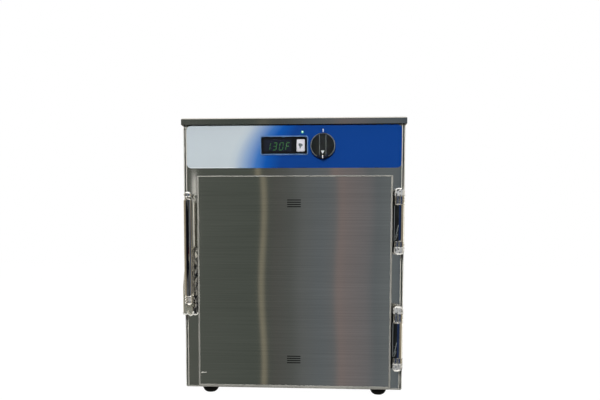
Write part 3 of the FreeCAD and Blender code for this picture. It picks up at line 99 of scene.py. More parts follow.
class Wire:
    """One output of a shader node. Sums, products and comparisons of wires are Math nodes."""

    def __init__(self, tree, socket=None):
        self.tree = tree
        self.socket = socket

    def node(self, kind, settings=None, inputs=None, output=0):
        made = self.tree.nodes.new("ShaderNode" + kind)
        for name, value in (settings or {}).items():
            if name == "stops":
                fill_ramp(made.color_ramp, value)
            else:
                setattr(made, name, value)
        for name, value in (inputs or {}).items():
            if isinstance(value, Wire):
                self.tree.links.new(value.socket, made.inputs[name])
            else:
                made.inputs[name].default_value = value
        return Wire(self.tree, made.outputs[output]) if len(made.outputs) else None

    def maths(self, operation, *terms):
        return self.node("Math", {"operation": operation}, dict(enumerate(terms)))

    def __add__(self, other):
        return self.maths("ADD", self, other)

    def __sub__(self, other):
        return self.maths("SUBTRACT", self, other)

    def __rsub__(self, other):
        return self.maths("SUBTRACT", other, self)

    def __mul__(self, other):
        return self.maths("MULTIPLY", self, other)

    def __gt__(self, other):
        return self.maths("GREATER_THAN", self, other)

    def __lt__(self, other):
        return self.maths("LESS_THAN", self, other)

    __radd__ = __add__
    __rmul__ = __mul__

    def size_of(self):
        return self.maths("ABSOLUTE", self)

    def eased(self, start, end):
        # 0 before start, 1 after end, with a soft change between the two
        return self.node("MapRange", {"interpolation_type": "SMOOTHSTEP"}, {0: self, 1: start, 2: end, 3: 0.0, 4: 1.0})

    def stretched(self, factors):
        return self.node("VectorMath", {"operation": "MULTIPLY"}, {0: self, 1: factors})

    def part(self, axis):
        return self.node("SeparateXYZ", {}, {0: self}, axis)

    def speckle(self, scale, detail=2.0, roughness=0.5):
        return self.node("TexNoise", {}, {"Vector": self, "Scale": scale, "Detail": detail, "Roughness": roughness})

    def between(self, below, above):
        # This wire, from 0 to 1, fades one colour into another
        return self.node("Mix", {"data_type": "RGBA"}, {0: self, 6: below, 7: above}, 2)

    def raised(self, strength, depth_mm):
        return self.node("Bump", {}, {"Strength": strength, "Distance": depth_mm * mm, "Height": self})


def fill_ramp(ramp, stops):
    while len(ramp.elements) < len(stops):
        ramp.elements.new(1.0)
    for element, (position, colour) in zip(ramp.elements, stops):
        element.position = position
        element.color = colour


def tone(red, green, blue):
    # A colour as a painter reads it off a swatch, 0 to 255, turned into light for the shader
    light = [c / 12.92 if c <= 0.04045 else ((c + 0.055) / 1.055) ** 2.4 for c in (red / 255, green / 255, blue / 255)]
    return (*light, 1.0)


def grey(level):
    return (level, level, level, 1.0)


# %% [markdown]
# ## One helper that starts a finish and one that ends it
#
# Every finish starts from the surface's own coordinates, which stay with the piece when the door
# opens, and ends in one Principled shader.

# %% Starting and ending a finish


def new_finish(name):
    material = bpy.data.materials.new(name)
    material.use_nodes = True
    material.node_tree.nodes.clear()
    start = Wire(material.node_tree)
    return material, start.node("TexCoord", {}, {}, "Object")


def finished(wire, sockets):
    surface = wire.node("BsdfPrincipled", {}, sockets)
    wire.node("OutputMaterial", {}, {"Surface": surface})


# %% [markdown]
# ## Brushed stainless steel
#
# A sander leaves thousands of fine scratches that run from side to side. They do two things: they
# show as faint streaks, and they smear every reflection up and down, at right angles to the
# scratches. The streaks come from noise that is stretched a hundredfold along the sheet. The smear
# is the shader's anisotropy, turned by a quarter. On the lid the scratches run the same way, but
# there the fine direction is front to back, so the surface normal picks which noise is used.

# %% Brushed sheet finish


def widest_axis(wire):
    # 1 where a face looks straight along an axis, less where the sheet bends from one to another
    facing = wire.node("TexCoord", {}, {}, "Normal")
    sideways = facing.part(0).size_of().maths("MAXIMUM", facing.part(0).size_of(), facing.part(1).size_of())
    return sideways.maths("MAXIMUM", sideways, facing.part(2).size_of())


def make_brushed_steel(name, dark, light, roughness, streak_depth, bend_dulling, tilt=0.0, sway=0.0):
    # Tilt leans the whole sheet about an upright line, sway twists it to and fro with height. Both
    # are slopes in thousandths, far too small to see except in what the sheet mirrors
    material, place = new_finish(name)
    swing = ((place.part(2) - 0.394) * 19.45).maths("COSINE", (place.part(2) - 0.394) * 19.45)
    across = place.part(0).maths("MAXIMUM", place.part(0) * (1 / mm), -150.0)
    lean = across * (swing * (sway * 0.01) + tilt * 0.01)
    level = place.node("TexCoord", {}, {}, "Normal").part(2).size_of() > 0.5
    upright = place.stretched((5, 5, 700)).speckle(1.0, 4.0, 0.65)
    flat = place.stretched((5, 700, 5)).speckle(1.0, 4.0, 0.65)
    grain = upright * (1 - level) + flat * level
    cloud = place.stretched((3, 3, 9)).speckle(1.6, 2.0)
    smear = place.speckle(14.0, 3.0, 0.6)
    waves = place.stretched((1, 1, 0.4)).speckle(4.5, 1.0, 0.4)
    shade = grain * 0.75 + cloud * 0.25
    # Bends are duller, and their colour goes towards near white: a painted highlight along the folds.
    bend = 1 - widest_axis(place).eased(0.80, 0.97)
    finished(place, {
        "Base Color": bend.between(shade.eased(0.25, 0.78).between(dark, light), tone(226, 225, 220)),
        "Metallic": 1.0,
        "Roughness": roughness + grain * 0.02 + smear * 0.02 + bend * bend_dulling,
        "Anisotropic": 0.9,
        "Anisotropic Rotation": 0.25,
        "Normal": (grain * streak_depth * 0.4 + waves * 0.5 + lean).raised(1.0, 0.10),
    })
    return material


brushed_steel = make_brushed_steel("brushed_steel", tone(182, 183, 180), tone(204, 204, 201), 0.045, 0.025, 0.22, tilt=-6.7)
door_steel = make_brushed_steel("door_steel", tone(182, 183, 180), tone(204, 204, 201), 0.045, 0.025, 0.22, sway=1.68)
liner_steel = make_brushed_steel("liner_steel", tone(190, 190, 190), tone(214, 214, 214), 0.26, 0.08, 0.1)
# The lid's copy of the same steel has darker tones: painted shade that dims what the lid mirrors.
lid_shaded_steel = make_brushed_steel("lid_shaded_steel", tone(170, 173, 172), tone(184, 186, 184), 0.12, 0.025, 0.22)
print("steel finishes", brushed_steel.name, liner_steel.name, lid_shaded_steel.name)

# %% [markdown]
# ## Chrome
#
# Polished plating over a casting is almost a mirror. What keeps it from looking like a computer
# mirror is that the casting under it isn't quite flat, so a slow, shallow bump bends the
# reflections, and handling leaves a faint haze.

# %% Chrome finish


def make_chrome():
    material, place = new_finish("chrome")
    waves = place.speckle(110.0, 2.0, 0.5)
    haze = place.speckle(45.0, 4.0, 0.6)
    finished(place, {
        "Base Color": haze.eased(0.35, 0.7).between(tone(232, 230, 224), tone(246, 245, 242)),
        "Metallic": 1.0,
        "Roughness": 0.05 + haze * 0.05,
        "Normal": waves.raised(0.25, 0.5),
    })
    return material


chrome = make_chrome()

# %% [markdown]
# ## Zinc plate, aluminium and plain iron
#
# The brackets and trays behind the panels are zinc plated, which shows as a bluish grey with
# cloudy crystals. The fan wheel is pressed aluminium, and the motor is a stack of iron sheets.

# %% Workshop metal finishes


def make_zinc():
    material, place = new_finish("zinc_steel")
    crystals = place.node("TexVoronoi", {}, {"Vector": place, "Scale": 160.0})
    cloud = place.speckle(30.0, 3.0)
    finished(place, {
        "Base Color": (crystals * 0.6 + cloud * 0.6).eased(0.2, 0.9).between(tone(150, 155, 162), tone(196, 198, 200)),
        "Metallic": 1.0,
        "Roughness": 0.32 + cloud * 0.18,
        "Normal": cloud.raised(0.15, 0.1),
    })
    return material


def make_aluminium():
    material, place = new_finish("aluminium")
    press = place.speckle(60.0, 4.0, 0.6)
    finished(place, {
        "Base Color": press.eased(0.3, 0.7).between(tone(196, 197, 199), tone(222, 222, 224)),
        "Metallic": 1.0,
        "Roughness": 0.28 + press * 0.15,
        "Normal": press.raised(0.2, 0.1),
    })
    return material


def make_dark_iron(name, dark, light, roughness):
    material, place = new_finish(name)
    sheets = place.node("TexWave", {"bands_direction": "Y"}, {"Vector": place, "Scale": 320.0, "Distortion": 0.4})
    mottle = place.speckle(90.0, 4.0, 0.6)
    finished(place, {
        "Base Color": (mottle * 0.7 + sheets * 0.3).eased(0.3, 0.8).between(dark, light),
        "Metallic": 0.8,
        "Roughness": roughness + mottle * 0.2,
        "Normal": (sheets * 0.5 + mottle * 0.5).raised(0.2, 0.15),
    })
    return material


zinc_steel = make_zinc()
aluminium = make_aluminium()
motor_iron = make_dark_iron("motor_iron", tone(74, 76, 80), tone(120, 122, 126), 0.45)
magnet_black = make_dark_iron("magnet", tone(38, 38, 40), tone(62, 62, 64), 0.55)
heater_sheath = make_dark_iron("heater_sheath", tone(62, 54, 48), tone(104, 94, 84), 0.42)
print("workshop metals made")

# %% [markdown]
# ## Plastics, rubber and wool
#
# Moulded plastic has a fine orange peel that breaks up its highlights. One function gives that to
# every moulded piece, with its own two close tones. Rubber is the same but duller and deeper, and
# mineral wool is a mat of fibres, so its bump is strong and stretched.

# %% Moulded finishes


def make_moulded(name, dark, light, roughness, peel, specular=0.5, coat=0.0):
    material, place = new_finish(name)
    mottle = place.speckle(70.0, 3.0, 0.55)
    skin = place.speckle(900.0, 2.0, 0.5)
    finished(place, {
        "Base Color": mottle.eased(0.3, 0.7).between(dark, light),
        "Roughness": roughness + mottle * 0.08,
        "Specular IOR Level": specular,
        "Coat Weight": coat,
        "Coat Roughness": 0.08,
        "Normal": skin.raised(peel, 0.05),
    })
    return material


def make_wool():
    material, place = new_finish("mineral_wool")
    fibres = place.stretched((1, 1, 6)).speckle(260.0, 6.0, 0.7)
    tufts = place.speckle(40.0, 4.0, 0.6)
    finished(place, {
        "Base Color": (fibres * 0.5 + tufts * 0.5).eased(0.3, 0.7).between(tone(168, 158, 118), tone(222, 214, 180)),
        "Roughness": 0.92,
        "Normal": (fibres + tufts).raised(0.8, 1.2),
    })
    return material


black_plastic = make_moulded("black_plastic", tone(22, 24, 25), tone(36, 40, 40), 0.30, 0.12)
cream_plastic = make_moulded("cream_plastic", tone(214, 206, 182), tone(228, 221, 200), 0.42, 0.10)
board_green = make_moulded("board", tone(16, 84, 48), tone(24, 104, 60), 0.35, 0.05, coat=0.4)
key_plastic = make_moulded("key", tone(216, 213, 221), tone(226, 224, 231), 0.42, 0.06)
bezel_plastic = make_moulded("bezel", tone(88, 124, 170), tone(108, 142, 184), 0.3, 0.04, coat=0.2)
rubber = make_moulded("rubber", tone(5, 5, 5), tone(12, 12, 12), 0.7, 0.35, specular=0.12)
lead_sleeve = make_moulded("lead_sleeve", tone(28, 28, 30), tone(44, 44, 46), 0.5, 0.15)
mineral_wool = make_wool()
print("moulded finishes made")

# %% [markdown]
# ## The printed panel film
#
# The panel is a polycarbonate film, printed on its back and laid over the steel. From the left it
# starts as pale silver, and a slanted fade turns it through bright blue into deep blue. A thin
# white line runs along its lower edge and ends at the fade. The fade's edge leans and curves to the
# right as it rises, so each point's distance from that curve is worked out first, and a ramp turns
# the distance into a colour.

# %% Printed film finish
fade_foot_x = -93.0
fade_lean = 0.097
fade_curve = 0.0045
fade_start = -42.0
fade_end = 66.0
lower_line = 1.6
film_stops = [(0.0, tone(203, 213, 218)), (0.12, tone(196, 208, 216)), (0.31, tone(147, 172, 206)),
              (0.54, tone(66, 120, 192)), (0.72, tone(16, 88, 178)), (1.0, tone(16, 66, 144))]


def make_printed_film():
    material, place = new_finish("printed_film")
    x = place.part(0) * (1 / mm)
    rise = place.part(2) * (1 / mm) - overlay.low.z
    past_edge = x - fade_foot_x - rise * fade_lean - rise * rise * fade_curve
    along = (past_edge - fade_start) * (1 / (fade_end - fade_start))
    print_grain = place.speckle(500.0, 2.0)
    mottle = place.speckle(9.0, 2.0)
    base = along.node("ValToRGB", {"stops": film_stops}, {0: along})
    line = (rise < lower_line) * (1 - along.eased(0.05, 0.25))
    base = line.between(base, tone(232, 237, 240))
    base = (mottle * 0.10).between(base, tone(8, 40, 96))
    finished(place, {
        "Base Color": base,
        "Roughness": 0.42 + print_grain * 0.05,
        "Specular IOR Level": 0.08,
        "Normal": print_grain.raised(0.03, 0.05),
    })
    return material


printed_film = make_printed_film()

# %% [markdown]
# ## Window, lamp and print inks
#
# The display window is smoked acrylic: nearly black, glossy, and a little bluer where the digit
# module sits behind it. The digits and the lamp shine, so they get emission. Inks are dull.

# %% Window and ink finishes


def make_window():
    material, place = new_finish("smoked_window")
    x = place.part(0) * (1 / mm)
    z = place.part(2) * (1 / mm)
    inside = (1 - (x - (window.mid.x - 13.0)).size_of().eased(26.0, 29.0)) * (1 - (z - window.mid.z).size_of().eased(10.5, 12.5))
    smoke = place.speckle(120.0, 2.0)
    finished(place, {
        "Base Color": (inside * (0.7 + smoke * 0.3)).between(tone(8, 10, 16), tone(24, 30, 46)),
        "Roughness": 0.12 + smoke * 0.04,
        "Coat Weight": 0.25,
        "Coat Roughness": 0.05,
    })
    return material


def make_glowing(name, dark, light, strength):
    material, place = new_finish(name)
    dots = place.speckle(900.0, 2.0)
    colour = dots.eased(0.3, 0.7).between(dark, light)
    finished(place, {"Base Color": colour, "Roughness": 0.4 + dots * 0.1, "Emission Color": colour,
                     "Emission Strength": strength})
    return material


def make_lamp_lens():
    # Pale where the lens bulges over the light, teal towards the rim
    material, place = new_finish("lamp_lens")
    x = place.part(0) * (1 / mm) - lamp.mid.x
    z = place.part(2) * (1 / mm) - lamp.mid.z
    away = x.maths("SQRT", x * x + z * z)
    colour = away.eased(0.7, 2.4).between(tone(226, 255, 222), tone(20, 150, 118))
    colour = away.eased(2.2, 3.6).between(colour, tone(8, 92, 120))
    finished(place, {"Base Color": colour, "Roughness": 0.25 + away * 0.02, "Emission Color": colour,
                     "Emission Strength": 0.7})
    return material


smoked_window = make_window()
digit_glow = make_glowing("digit_glow", tone(44, 92, 44), tone(56, 108, 52), 0.42)
lamp_glow = make_lamp_lens()
white_ink = make_moulded("white_ink", tone(222, 224, 226), tone(238, 239, 240), 0.5, 0.05)
grey_ink = make_moulded("grey_ink", tone(120, 122, 134), tone(140, 142, 152), 0.5, 0.05)
key_ink = make_moulded("key_ink", tone(84, 92, 98), tone(118, 126, 130), 0.6, 0.05, specular=0.2)
border_ink = make_moulded("border_ink", tone(6, 8, 9), tone(12, 14, 15), 0.5, 0.05, specular=0.2)
print("window, lamp and inks made")

# %% [markdown]
# ## Giving every solid its finish
#
# The record names a finish for every solid. One table pairs those names with the materials above,
# and a loop hands them out, so no solid is forgotten.

# %% Hand out the finishes
finishes = {
    "brushed_steel": brushed_steel, "liner_steel": liner_steel, "zinc_steel": zinc_steel, "chrome": chrome,
    "rubber": rubber, "wool": mineral_wool, "overlay": printed_film, "bezel": bezel_plastic,
    "window": smoked_window, "key": key_plastic, "lamp": lamp_glow, "black_plastic": black_plastic,
    "board": board_green, "cream_plastic": cream_plastic, "heater_sheath": heater_sheath,
    "motor_iron": motor_iron, "magnet": magnet_black, "lead_sleeve": lead_sleeve, "aluminium": aluminium,
}
for part in frame["record"]["subparts"]:
    node = frame["nodes"][part["node"]]
    node.data.materials.clear()
    node.data.materials.append(finishes[part["material_slot"]])
frame["nodes"]["top_cap"].data.materials[0] = lid_shaded_steel
frame["nodes"]["door_outer_pan"].data.materials[0] = door_steel
print(len(frame["nodes"]), "solids dressed in", len(finishes), "finishes")

# %% [markdown]
# ## Building small pieces
#
# Small pieces are meshes made in code. One helper takes a function that fills an empty mesh, gives
# the result its finish, and fixes it to the body that carries it.

# %% Piece helpers


def add_piece(name, body, material, fill, smooth_angle=30):
    mesh = bpy.data.meshes.new(name)
    form = bmesh.new()
    fill(form)
    bmesh.ops.remove_doubles(form, verts=form.verts, dist=1e-6)
    bmesh.ops.recalc_face_normals(form, faces=form.faces)
    form.to_mesh(mesh)
    form.free()
    made = bpy.data.objects.new(name, mesh)
    scene.collection.objects.link(made)
    made.data.materials.append(material)
    for face in mesh.polygons:
        face.use_smooth = True
    mesh.set_sharp_from_angle(angle=math.radians(smooth_angle))
    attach(made, body)
    return made


def flat_mark(form, outline, y, thickness=0.06):
    # A printed mark: an outline in x and z, a film's thickness proud of the face it lies on
    back = [form.verts.new(Vector((x, y, z)) * mm) for x, z in outline]
    front = [form.verts.new(Vector((x, y - thickness, z)) * mm) for x, z in outline]
    form.faces.new(front)
    for step in range(len(outline)):
        after = (step + 1) % len(outline)
        form.faces.new([back[step], back[after], front[after], front[step]])


def upright_bar(x, z_low, z_high, width):
    half = width / 2
    return [(x - half, z_low), (x + half, z_low), (x + half, z_high), (x - half, z_high)]


# %% [markdown]
# ## Turned and swept shapes
#
# Most small metal pieces are either turned on a lathe or made by dragging one outline along a path.
# Both come down to rows of points: each row is joined to the next with four sided faces.

# %% Turning and sweeping


def join_rows(form, rows, closed=True):
    for before, after in zip(rows, rows[1:]):
        count = len(before)
        for step in range(count if closed else count - 1):
            onward = (step + 1) % count
            form.faces.new([before[step], before[onward], after[onward], after[step]])


def row_of(form, points):
    return [form.verts.new(Vector(point) * mm) for point in points]


def lathe(form, steps, centre, axis="Z", count=32, turn=(0, 360)):
    # Steps are pairs of radius and height along the axis; turn is in degrees
    whole = turn[1] - turn[0] >= 360
    rows = []
    for radius, height in steps:
        points = []
        for step in range(count if whole else count + 1):
            angle = math.radians(turn[0] + (turn[1] - turn[0]) * step / count)
            across, up = radius * math.cos(angle), radius * math.sin(angle)
            offset = {"Z": (across, up, height), "Y": (across, height, up), "X": (height, across, up)}[axis]
            points.append(Vector(centre) + Vector(offset))
        rows.append(row_of(form, points))
    join_rows(form, rows, whole)


def rounded_outline(x_low, x_high, z_low, z_high, corner, steps=6):
    # Points round a rectangle with rounded corners, as pairs of x and z
    points = []
    for x, z, start in ((x_high - corner, z_high - corner, 0), (x_low + corner, z_high - corner, 90),
                        (x_low + corner, z_low + corner, 180), (x_high - corner, z_low + corner, 270)):
        for step in range(steps + 1):
            angle = math.radians(start + 90 * step / steps)
            points.append((x + corner * math.cos(angle), z + corner * math.sin(angle)))
    return points


def border(form, place, corner, section, left=1.0, right=1.0, low=1.0, high=1.0):
    # A frame round a part's outline. The section is a list of inset and y, from the outside inwards,
    # and four factors widen or narrow the insets on each side
    rows = []
    for inset, y in section:
        outline = rounded_outline(place.low.x + inset * left, place.high.x - inset * right, place.low.z + inset * low,
                                  place.high.z - inset * high, max(corner - inset, 0.2))
        rows.append(row_of(form, [(x, y, z) for x, z in outline]))
    join_rows(form, rows)


def tube(form, points, radius, count=10, ends=True):
    # A round bar along a path of points, with closed ends
    path = [Vector(point) for point in points]
    rows = []
    across = None
    for step, here in enumerate(path):
        along = (path[min(step + 1, len(path) - 1)] - path[max(step - 1, 0)]).normalized()
        start = across if across else along.orthogonal()
        across = (start - along * start.dot(along)).normalized()
        other = along.cross(across)
        angles = [2 * math.pi * turn / count for turn in range(count)]
        rows.append([here + (across * math.cos(a) + other * math.sin(a)) * radius for a in angles])
    if ends:
        rows = [[path[0]] * count] + rows + [[path[-1]] * count]
    join_rows(form, [row_of(form, row) for row in rows])


def bend_points(path, radius, steps=6):
    # Rounds the corners of a path of straight runs
    path = [Vector(point) for point in path]
    points = [path[0]]
    for before, corner, after in zip(path, path[1:], path[2:]):
        start = corner + (before - corner).normalized() * radius
        end = corner + (after - corner).normalized() * radius
        for step in range(steps + 1):
            t = step / steps
            points.append(start * (1 - t) ** 2 + corner * 2 * t * (1 - t) + end * t ** 2)
    return points + [path[-1]]


# %% [markdown]
# ## The digits
#
# A temperature display builds each figure from seven bars with pointed ends. The whole row leans
# by ten degrees. Each figure is a string that says which bars are lit, so the code for a figure is
# the same as on a real driver chip.

# %% Lit digits
digit_left = -55.0
digit_low = 510.8
digit_height = 14.6
digit_width = 6.9
digit_pitch = 13.1
bar_width = 1.25
lean_angle = math.radians(10)
lit_bars = {"1": "bc", "3": "abcdg", "0": "abcdef", "F": "aefg"}


def bar_ends(bar):
    top, middle, bottom = digit_height, digit_height / 2, 0.0
    right = digit_width
    ends = {"a": ((0, top), (right, top)), "b": ((right, middle), (right, top)), "c": ((right, bottom), (right, middle)),
            "d": ((0, bottom), (right, bottom)), "e": ((0, bottom), (0, middle)), "f": ((0, middle), (0, top)),
            "g": ((0, middle), (right, middle))}
    return [Vector(end) for end in ends[bar]]


def bar_outline(bar, left):
    start, end = bar_ends(bar)
    along = (end - start).normalized()
    side = Vector((-along.y, along.x)) * bar_width / 2
    start = start + along * 0.35
    end = end - along * 0.35
    tip = along * bar_width / 2
    points = [start, start + tip + side, end - tip + side, end, end - tip - side, start + tip - side]
    return [(left + p.x + p.y * math.tan(lean_angle), digit_low + p.y) for p in points]


def fill_digits(form):
    for step, figure in enumerate("130F"):
        for bar in lit_bars[figure]:
            flat_mark(form, bar_outline(bar, digit_left + step * digit_pitch), window.low.y)


digits = add_piece("lit_digits", "cabinet", digit_glow, fill_digits)
print("digits", len(digits.data.polygons), "faces")

# %% [markdown]
# ## Knob
#
# The knob is one moulding: a low skirt, and on it a grip bar left standing between two scooped
# hollows. Two fine ridges run down the sides of the bar and a ring runs round the scoops; they are a
# lighter grey than the knob, painted highlights where light catches these edges. It is easiest to
# see as a landscape: for every point of a round grid, one function gives the height above the panel.

# %% Knob
skirt_height = 7.5
knob_reach = knob.size.y
knob_back = knob.high.y
body_reach = 24.0
grip_half = 5.6


def knob_height(across, away):
    # Height above the knob's foot at a distance across from the bar's middle and away from the axis
    out = abs(across)
    if out < grip_half:
        height = knob_reach - 0.35 * (1 - (out / grip_half) ** 2) - 0.35
    elif out < grip_half + 1.5:
        height = knob_reach - 0.35 + 0.35 * math.sin(math.pi * (out - grip_half) / 1.5) - 0.4 * (out - grip_half) / 1.5
    else:
        slide = min(1.0, (out - grip_half - 1.5) / (body_reach - grip_half - 1.5))
        height = skirt_height + 0.4 + (knob_reach - skirt_height - 1.2) * (1 - math.sqrt(1 - (1 - slide) ** 2))
    edge = min(1.0, max(0.0, (body_reach - away) / 1.6))
    return (skirt_height - 0.5) + (height - skirt_height + 0.5) * math.sqrt(1 - (1 - edge) ** 2)


def fill_knob(form):
    steps = [(25.5 - 1.0, 0), (25.5, 0.9), (25.5, skirt_height - 1.6), (25.2, skirt_height - 0.6),
             (24.6, skirt_height - 0.1), (23.8, skirt_height), (20.0, skirt_height - 0.4)]
    lathe(form, [(radius, -height) for radius, height in steps], (knob.mid.x, knob_back, knob.mid.z), axis="Y", count=72)
    shares = [0, 0.15, 0.3, 0.45, 0.6, 0.75, 0.86, 0.93, 0.97, 0.99, 1.0]
    columns = [0, 1.5, 3, 4.6, 5.3, 5.6, 5.9, 6.3, 6.7, 7.1, 7.6, 8.4, 9.6, 11.2, 13.2, 15.6, 18.2, 20.6, 22.4, 23.4, 23.9]
    columns = [-c for c in reversed(columns[1:])] + columns
    rows = []
    for across in columns:
        reach = math.sqrt(body_reach ** 2 - across ** 2)
        points = []
        for share in [-c for c in reversed(shares[1:])] + shares:
            along = share * reach
            away = math.hypot(across, along)
            points.append((knob.mid.x + across, knob_back - knob_height(across, away), knob.mid.z + along))
        rows.append(row_of(form, points))
    join_rows(form, rows, closed=False)


knob_body = add_piece("knob_body", "knob", black_plastic, fill_knob, 40)
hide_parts("control_knob")


def fill_knob_highlight_rims(form):
    # Painted highlights: a lighter grey ring round the scoops and a ridge on each side of the grip bar
    face = knob_back - skirt_height
    ring = []
    for step in range(73):
        angle = math.radians(-62 + 304 * step / 72)
        ring.append((knob.mid.x + 24.0 * math.cos(angle), face - 1.2, knob.mid.z + 24.0 * math.sin(angle)))
    tube(form, ring, 0.85, 8)
    for side in (-1, 1):
        points = []
        for step in range(15):
            rise = -1 + 2 * step / 14
            points.append((knob.mid.x + side * 6.4, knob.low.y + 0.45 + 1.4 * abs(rise) ** 9, knob.mid.z + 22.8 * rise))
        tube(form, points, 0.7, 8)


knob_highlight_grey = make_moulded("knob_highlight_grey", tone(104, 110, 108), tone(134, 140, 136), 0.35, 0.1)
knob_highlight_rims = add_piece("knob_highlight_rims", "knob", knob_highlight_grey, fill_knob_highlight_rims, 60)
print("knob", len(knob_body.data.polygons), "faces")

# %% [markdown]
# ## Marks on the panel and the knob
#
# A white mark on the panel above the knob says where the knob points when it is on. The knob
# itself carries a white triangle near the end of its grip, and a short line under it. The mark on
# the panel stays where it is, and those on the knob turn with it, so they ride on two bodies.

# %% Panel and knob marks
mark_width = 2.3


def fill_panel_marks(form):
    flat_mark(form, upright_bar(knob.mid.x + 0.4, knob.high.z + 2.6, knob.high.z + 9.0, mark_width), overlay.low.y)


def fill_knob_marks(form):
    tip_z = knob.low.z + 7.2
    triangle = [(knob.mid.x, tip_z), (knob.mid.x + 3.5, tip_z + 6.6), (knob.mid.x - 3.5, tip_z + 6.6)]
    flat_mark(form, triangle, knob.low.y)
    flat_mark(form, upright_bar(knob.mid.x, knob.low.z - 0.7, knob.low.z + 5.0, 2.0), knob_back - skirt_height,
              knob_reach - skirt_height + 0.05)


panel_marks = add_piece("panel_marks", "cabinet", white_ink, fill_panel_marks)
knob_marks = add_piece("knob_marks", "knob", white_ink, fill_knob_marks)
print("marks", panel_marks.name, knob_marks.name)

# %% [markdown]
# ## Key and display border
#
# The key is a small cap with bevelled edges, and a hand that presses is printed on it. A black line
# is printed round the display, just inside the pale frame, with its corners cut off.

# %% Key cap and display border
key = place_of("set_key")


def fill_key_cap(form):
    section = [(0.6, key.high.y), (0.6, key.low.y + 1.0), (1.0, key.low.y + 0.3), (1.7, key.low.y)]
    rows = []
    for inset, y in section:
        outline = rounded_outline(key.low.x + inset, key.high.x - inset, key.low.z + inset, key.high.z - inset, 1.8)
        rows.append(row_of(form, [(x, y, z) for x, z in outline]))
    join_rows(form, rows)
    form.faces.new(rows[0])
    form.faces.new(rows[-1])


def fill_key_hand(form):
    # Back of a fist, a cuff and one finger that points down
    hand = [(-3.9, 3.4), (-1.2, 4.2), (1.6, 3.6), (4.9, 1.4), (3.9, -1.2), (0.9, -2.8), (0.4, -5.6), (-0.9, -6.6),
            (-2.0, -5.8), (-1.8, -2.6), (-3.4, -1.4), (-4.0, 0.8)]
    flat_mark(form, [(key.mid.x - 0.3 + x, key.mid.z + z) for x, z in hand], key.low.y)


def fill_display_border(form):
    face = bezel.low.y
    rows = []
    for inset, y in ((2.5, face), (2.5, face - 0.05), (3.9, face - 0.05), (3.9, face)):
        cut = 3.0
        x_low, x_high, z_low, z_high = bezel.low.x + inset, bezel.high.x - inset, bezel.low.z + inset, bezel.high.z - inset
        rows.append(row_of(form, [(x, y, z) for x, z in (
            (x_low, z_low + cut), (x_low + cut, z_low), (x_high - cut, z_low), (x_high, z_low + cut),
            (x_high, z_high - cut), (x_high - cut, z_high), (x_low + cut, z_high), (x_low, z_high - cut))]))
    join_rows(form, rows)


key_cap = add_piece("key_cap", "set_key", key_plastic, fill_key_cap, 40)
key_hand = add_piece("key_hand", "set_key", key_ink, fill_key_hand)
display_border = add_piece("display_border", "cabinet", border_ink, fill_display_border)
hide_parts("set_key")
print("key and border", len(key_cap.data.polygons), len(display_border.data.polygons))

# %% [markdown]
# ## Bright edges of the door and the case
#
# The rims of folded sheet are deburred with a fine belt, which leaves a narrow, satin, slightly
# rounded border. Here that border is light and mostly dull, so that the lamps light it: a painted
# highlight for the light line on each rim, which makes a steel door look like folded sheet instead of a
# painted rectangle. The door gets one all round. Each front corner of the case gets a light edge,
# painted as a highlight in the same way, and, outside it, a black strip: painted shade of the seam
# where the side sheet is folded in.

# %% Door border and case seams


def make_satin_edge(name, dark, light):
    material, place = new_finish(name)
    belt = place.speckle(400.0, 3.0, 0.6)
    wander = place.speckle(12.0, 3.0, 0.6)
    finished(place, {
        "Base Color": (belt * 0.4 + wander * 0.6).eased(0.3, 0.7).between(dark, light),
        "Metallic": 0.12,
        "Roughness": 0.5 + belt * 0.1,
        "Normal": belt.raised(0.1, 0.05),
    })
    return material


# These light, mostly dull finishes are lit by the lamps and serve as painted highlights on rims, hems and beads; the
# first also colours the scuff's wear.
highlight_and_wear_satin = make_satin_edge("highlight_and_wear_satin", tone(196, 194, 184), tone(228, 226, 216))
door_edge_highlight = make_satin_edge("door_edge_highlight", tone(152, 151, 143), tone(184, 182, 174))
bead_highlight_white = make_satin_edge("bead_highlight_white", tone(236, 234, 222), tone(252, 251, 244))
# Black for pieces that stand for shade: painted shade in seams, slots, gaps and screw recesses.
shade_black = make_moulded("shade_black", tone(10, 11, 11), tone(18, 19, 19), 0.7, 0.2, specular=0.2)


def fill_door_border(form):
    face = door.low.y
    border(form, door, 3.0, [(0.0, face + 1.6), (0.25, face + 0.5), (0.9, face - 0.25), (1.8, face - 0.55),
                             (2.6, face - 0.35), (3.1, face + 0.1)], left=1.25, right=1.2, low=2.0, high=0.75)


def on_bend(x):
    # How far the case's front surface lies back at x, on its rounded corner
    past = max(0.0, abs(x) - (shell.high.x - 4.0))
    return shell.low.y + 4.0 - math.sqrt(16.0 - past * past)


def fill_case_edges(form):
    # The frame's edge, and outside the seam the folded edge of the side sheet, both light pieces
    #     # painted as highlights on the corner
    front = shell.low.y
    low, high = shell.low.z, shell.high.z - 0.5
    for side in (-1, 1):
        x = side * (shell.high.x - 4.7)
        rows = [row_of(form, [(x + offset, front + depth, z) for offset, depth in
                              ((-1.15, 0.1), (-0.85, -0.45), (0, -0.7), (0.85, -0.45), (1.15, 0.1))])
                for z in (low, high)]
        join_rows(form, rows, closed=False)
        x, y = side * (shell.high.x - 0.1), front + 2.4
        rows = [row_of(form, [(x + side * 1.35 * math.cos(a), y + 1.5 * math.sin(a), z)
                              for a in [math.radians(30 * step) for step in range(12)]]) for z in (low, high)]
        join_rows(form, rows)
        form.faces.new(rows[1])
        form.faces.new(rows[0])


def fill_case_shade_seams(form):
    # A black strip on each front bend: painted shade of the seam where the side sheet is folded in.
    for side in (-1, 1):
        across = [side * (shell.high.x - 3.5 + 0.4 * step) for step in range(7)]
        rows = [row_of(form, [(x, on_bend(x) - 0.12, z) for x in across]) for z in (shell.low.z, shell.high.z - 0.5)]
        join_rows(form, rows, closed=False)


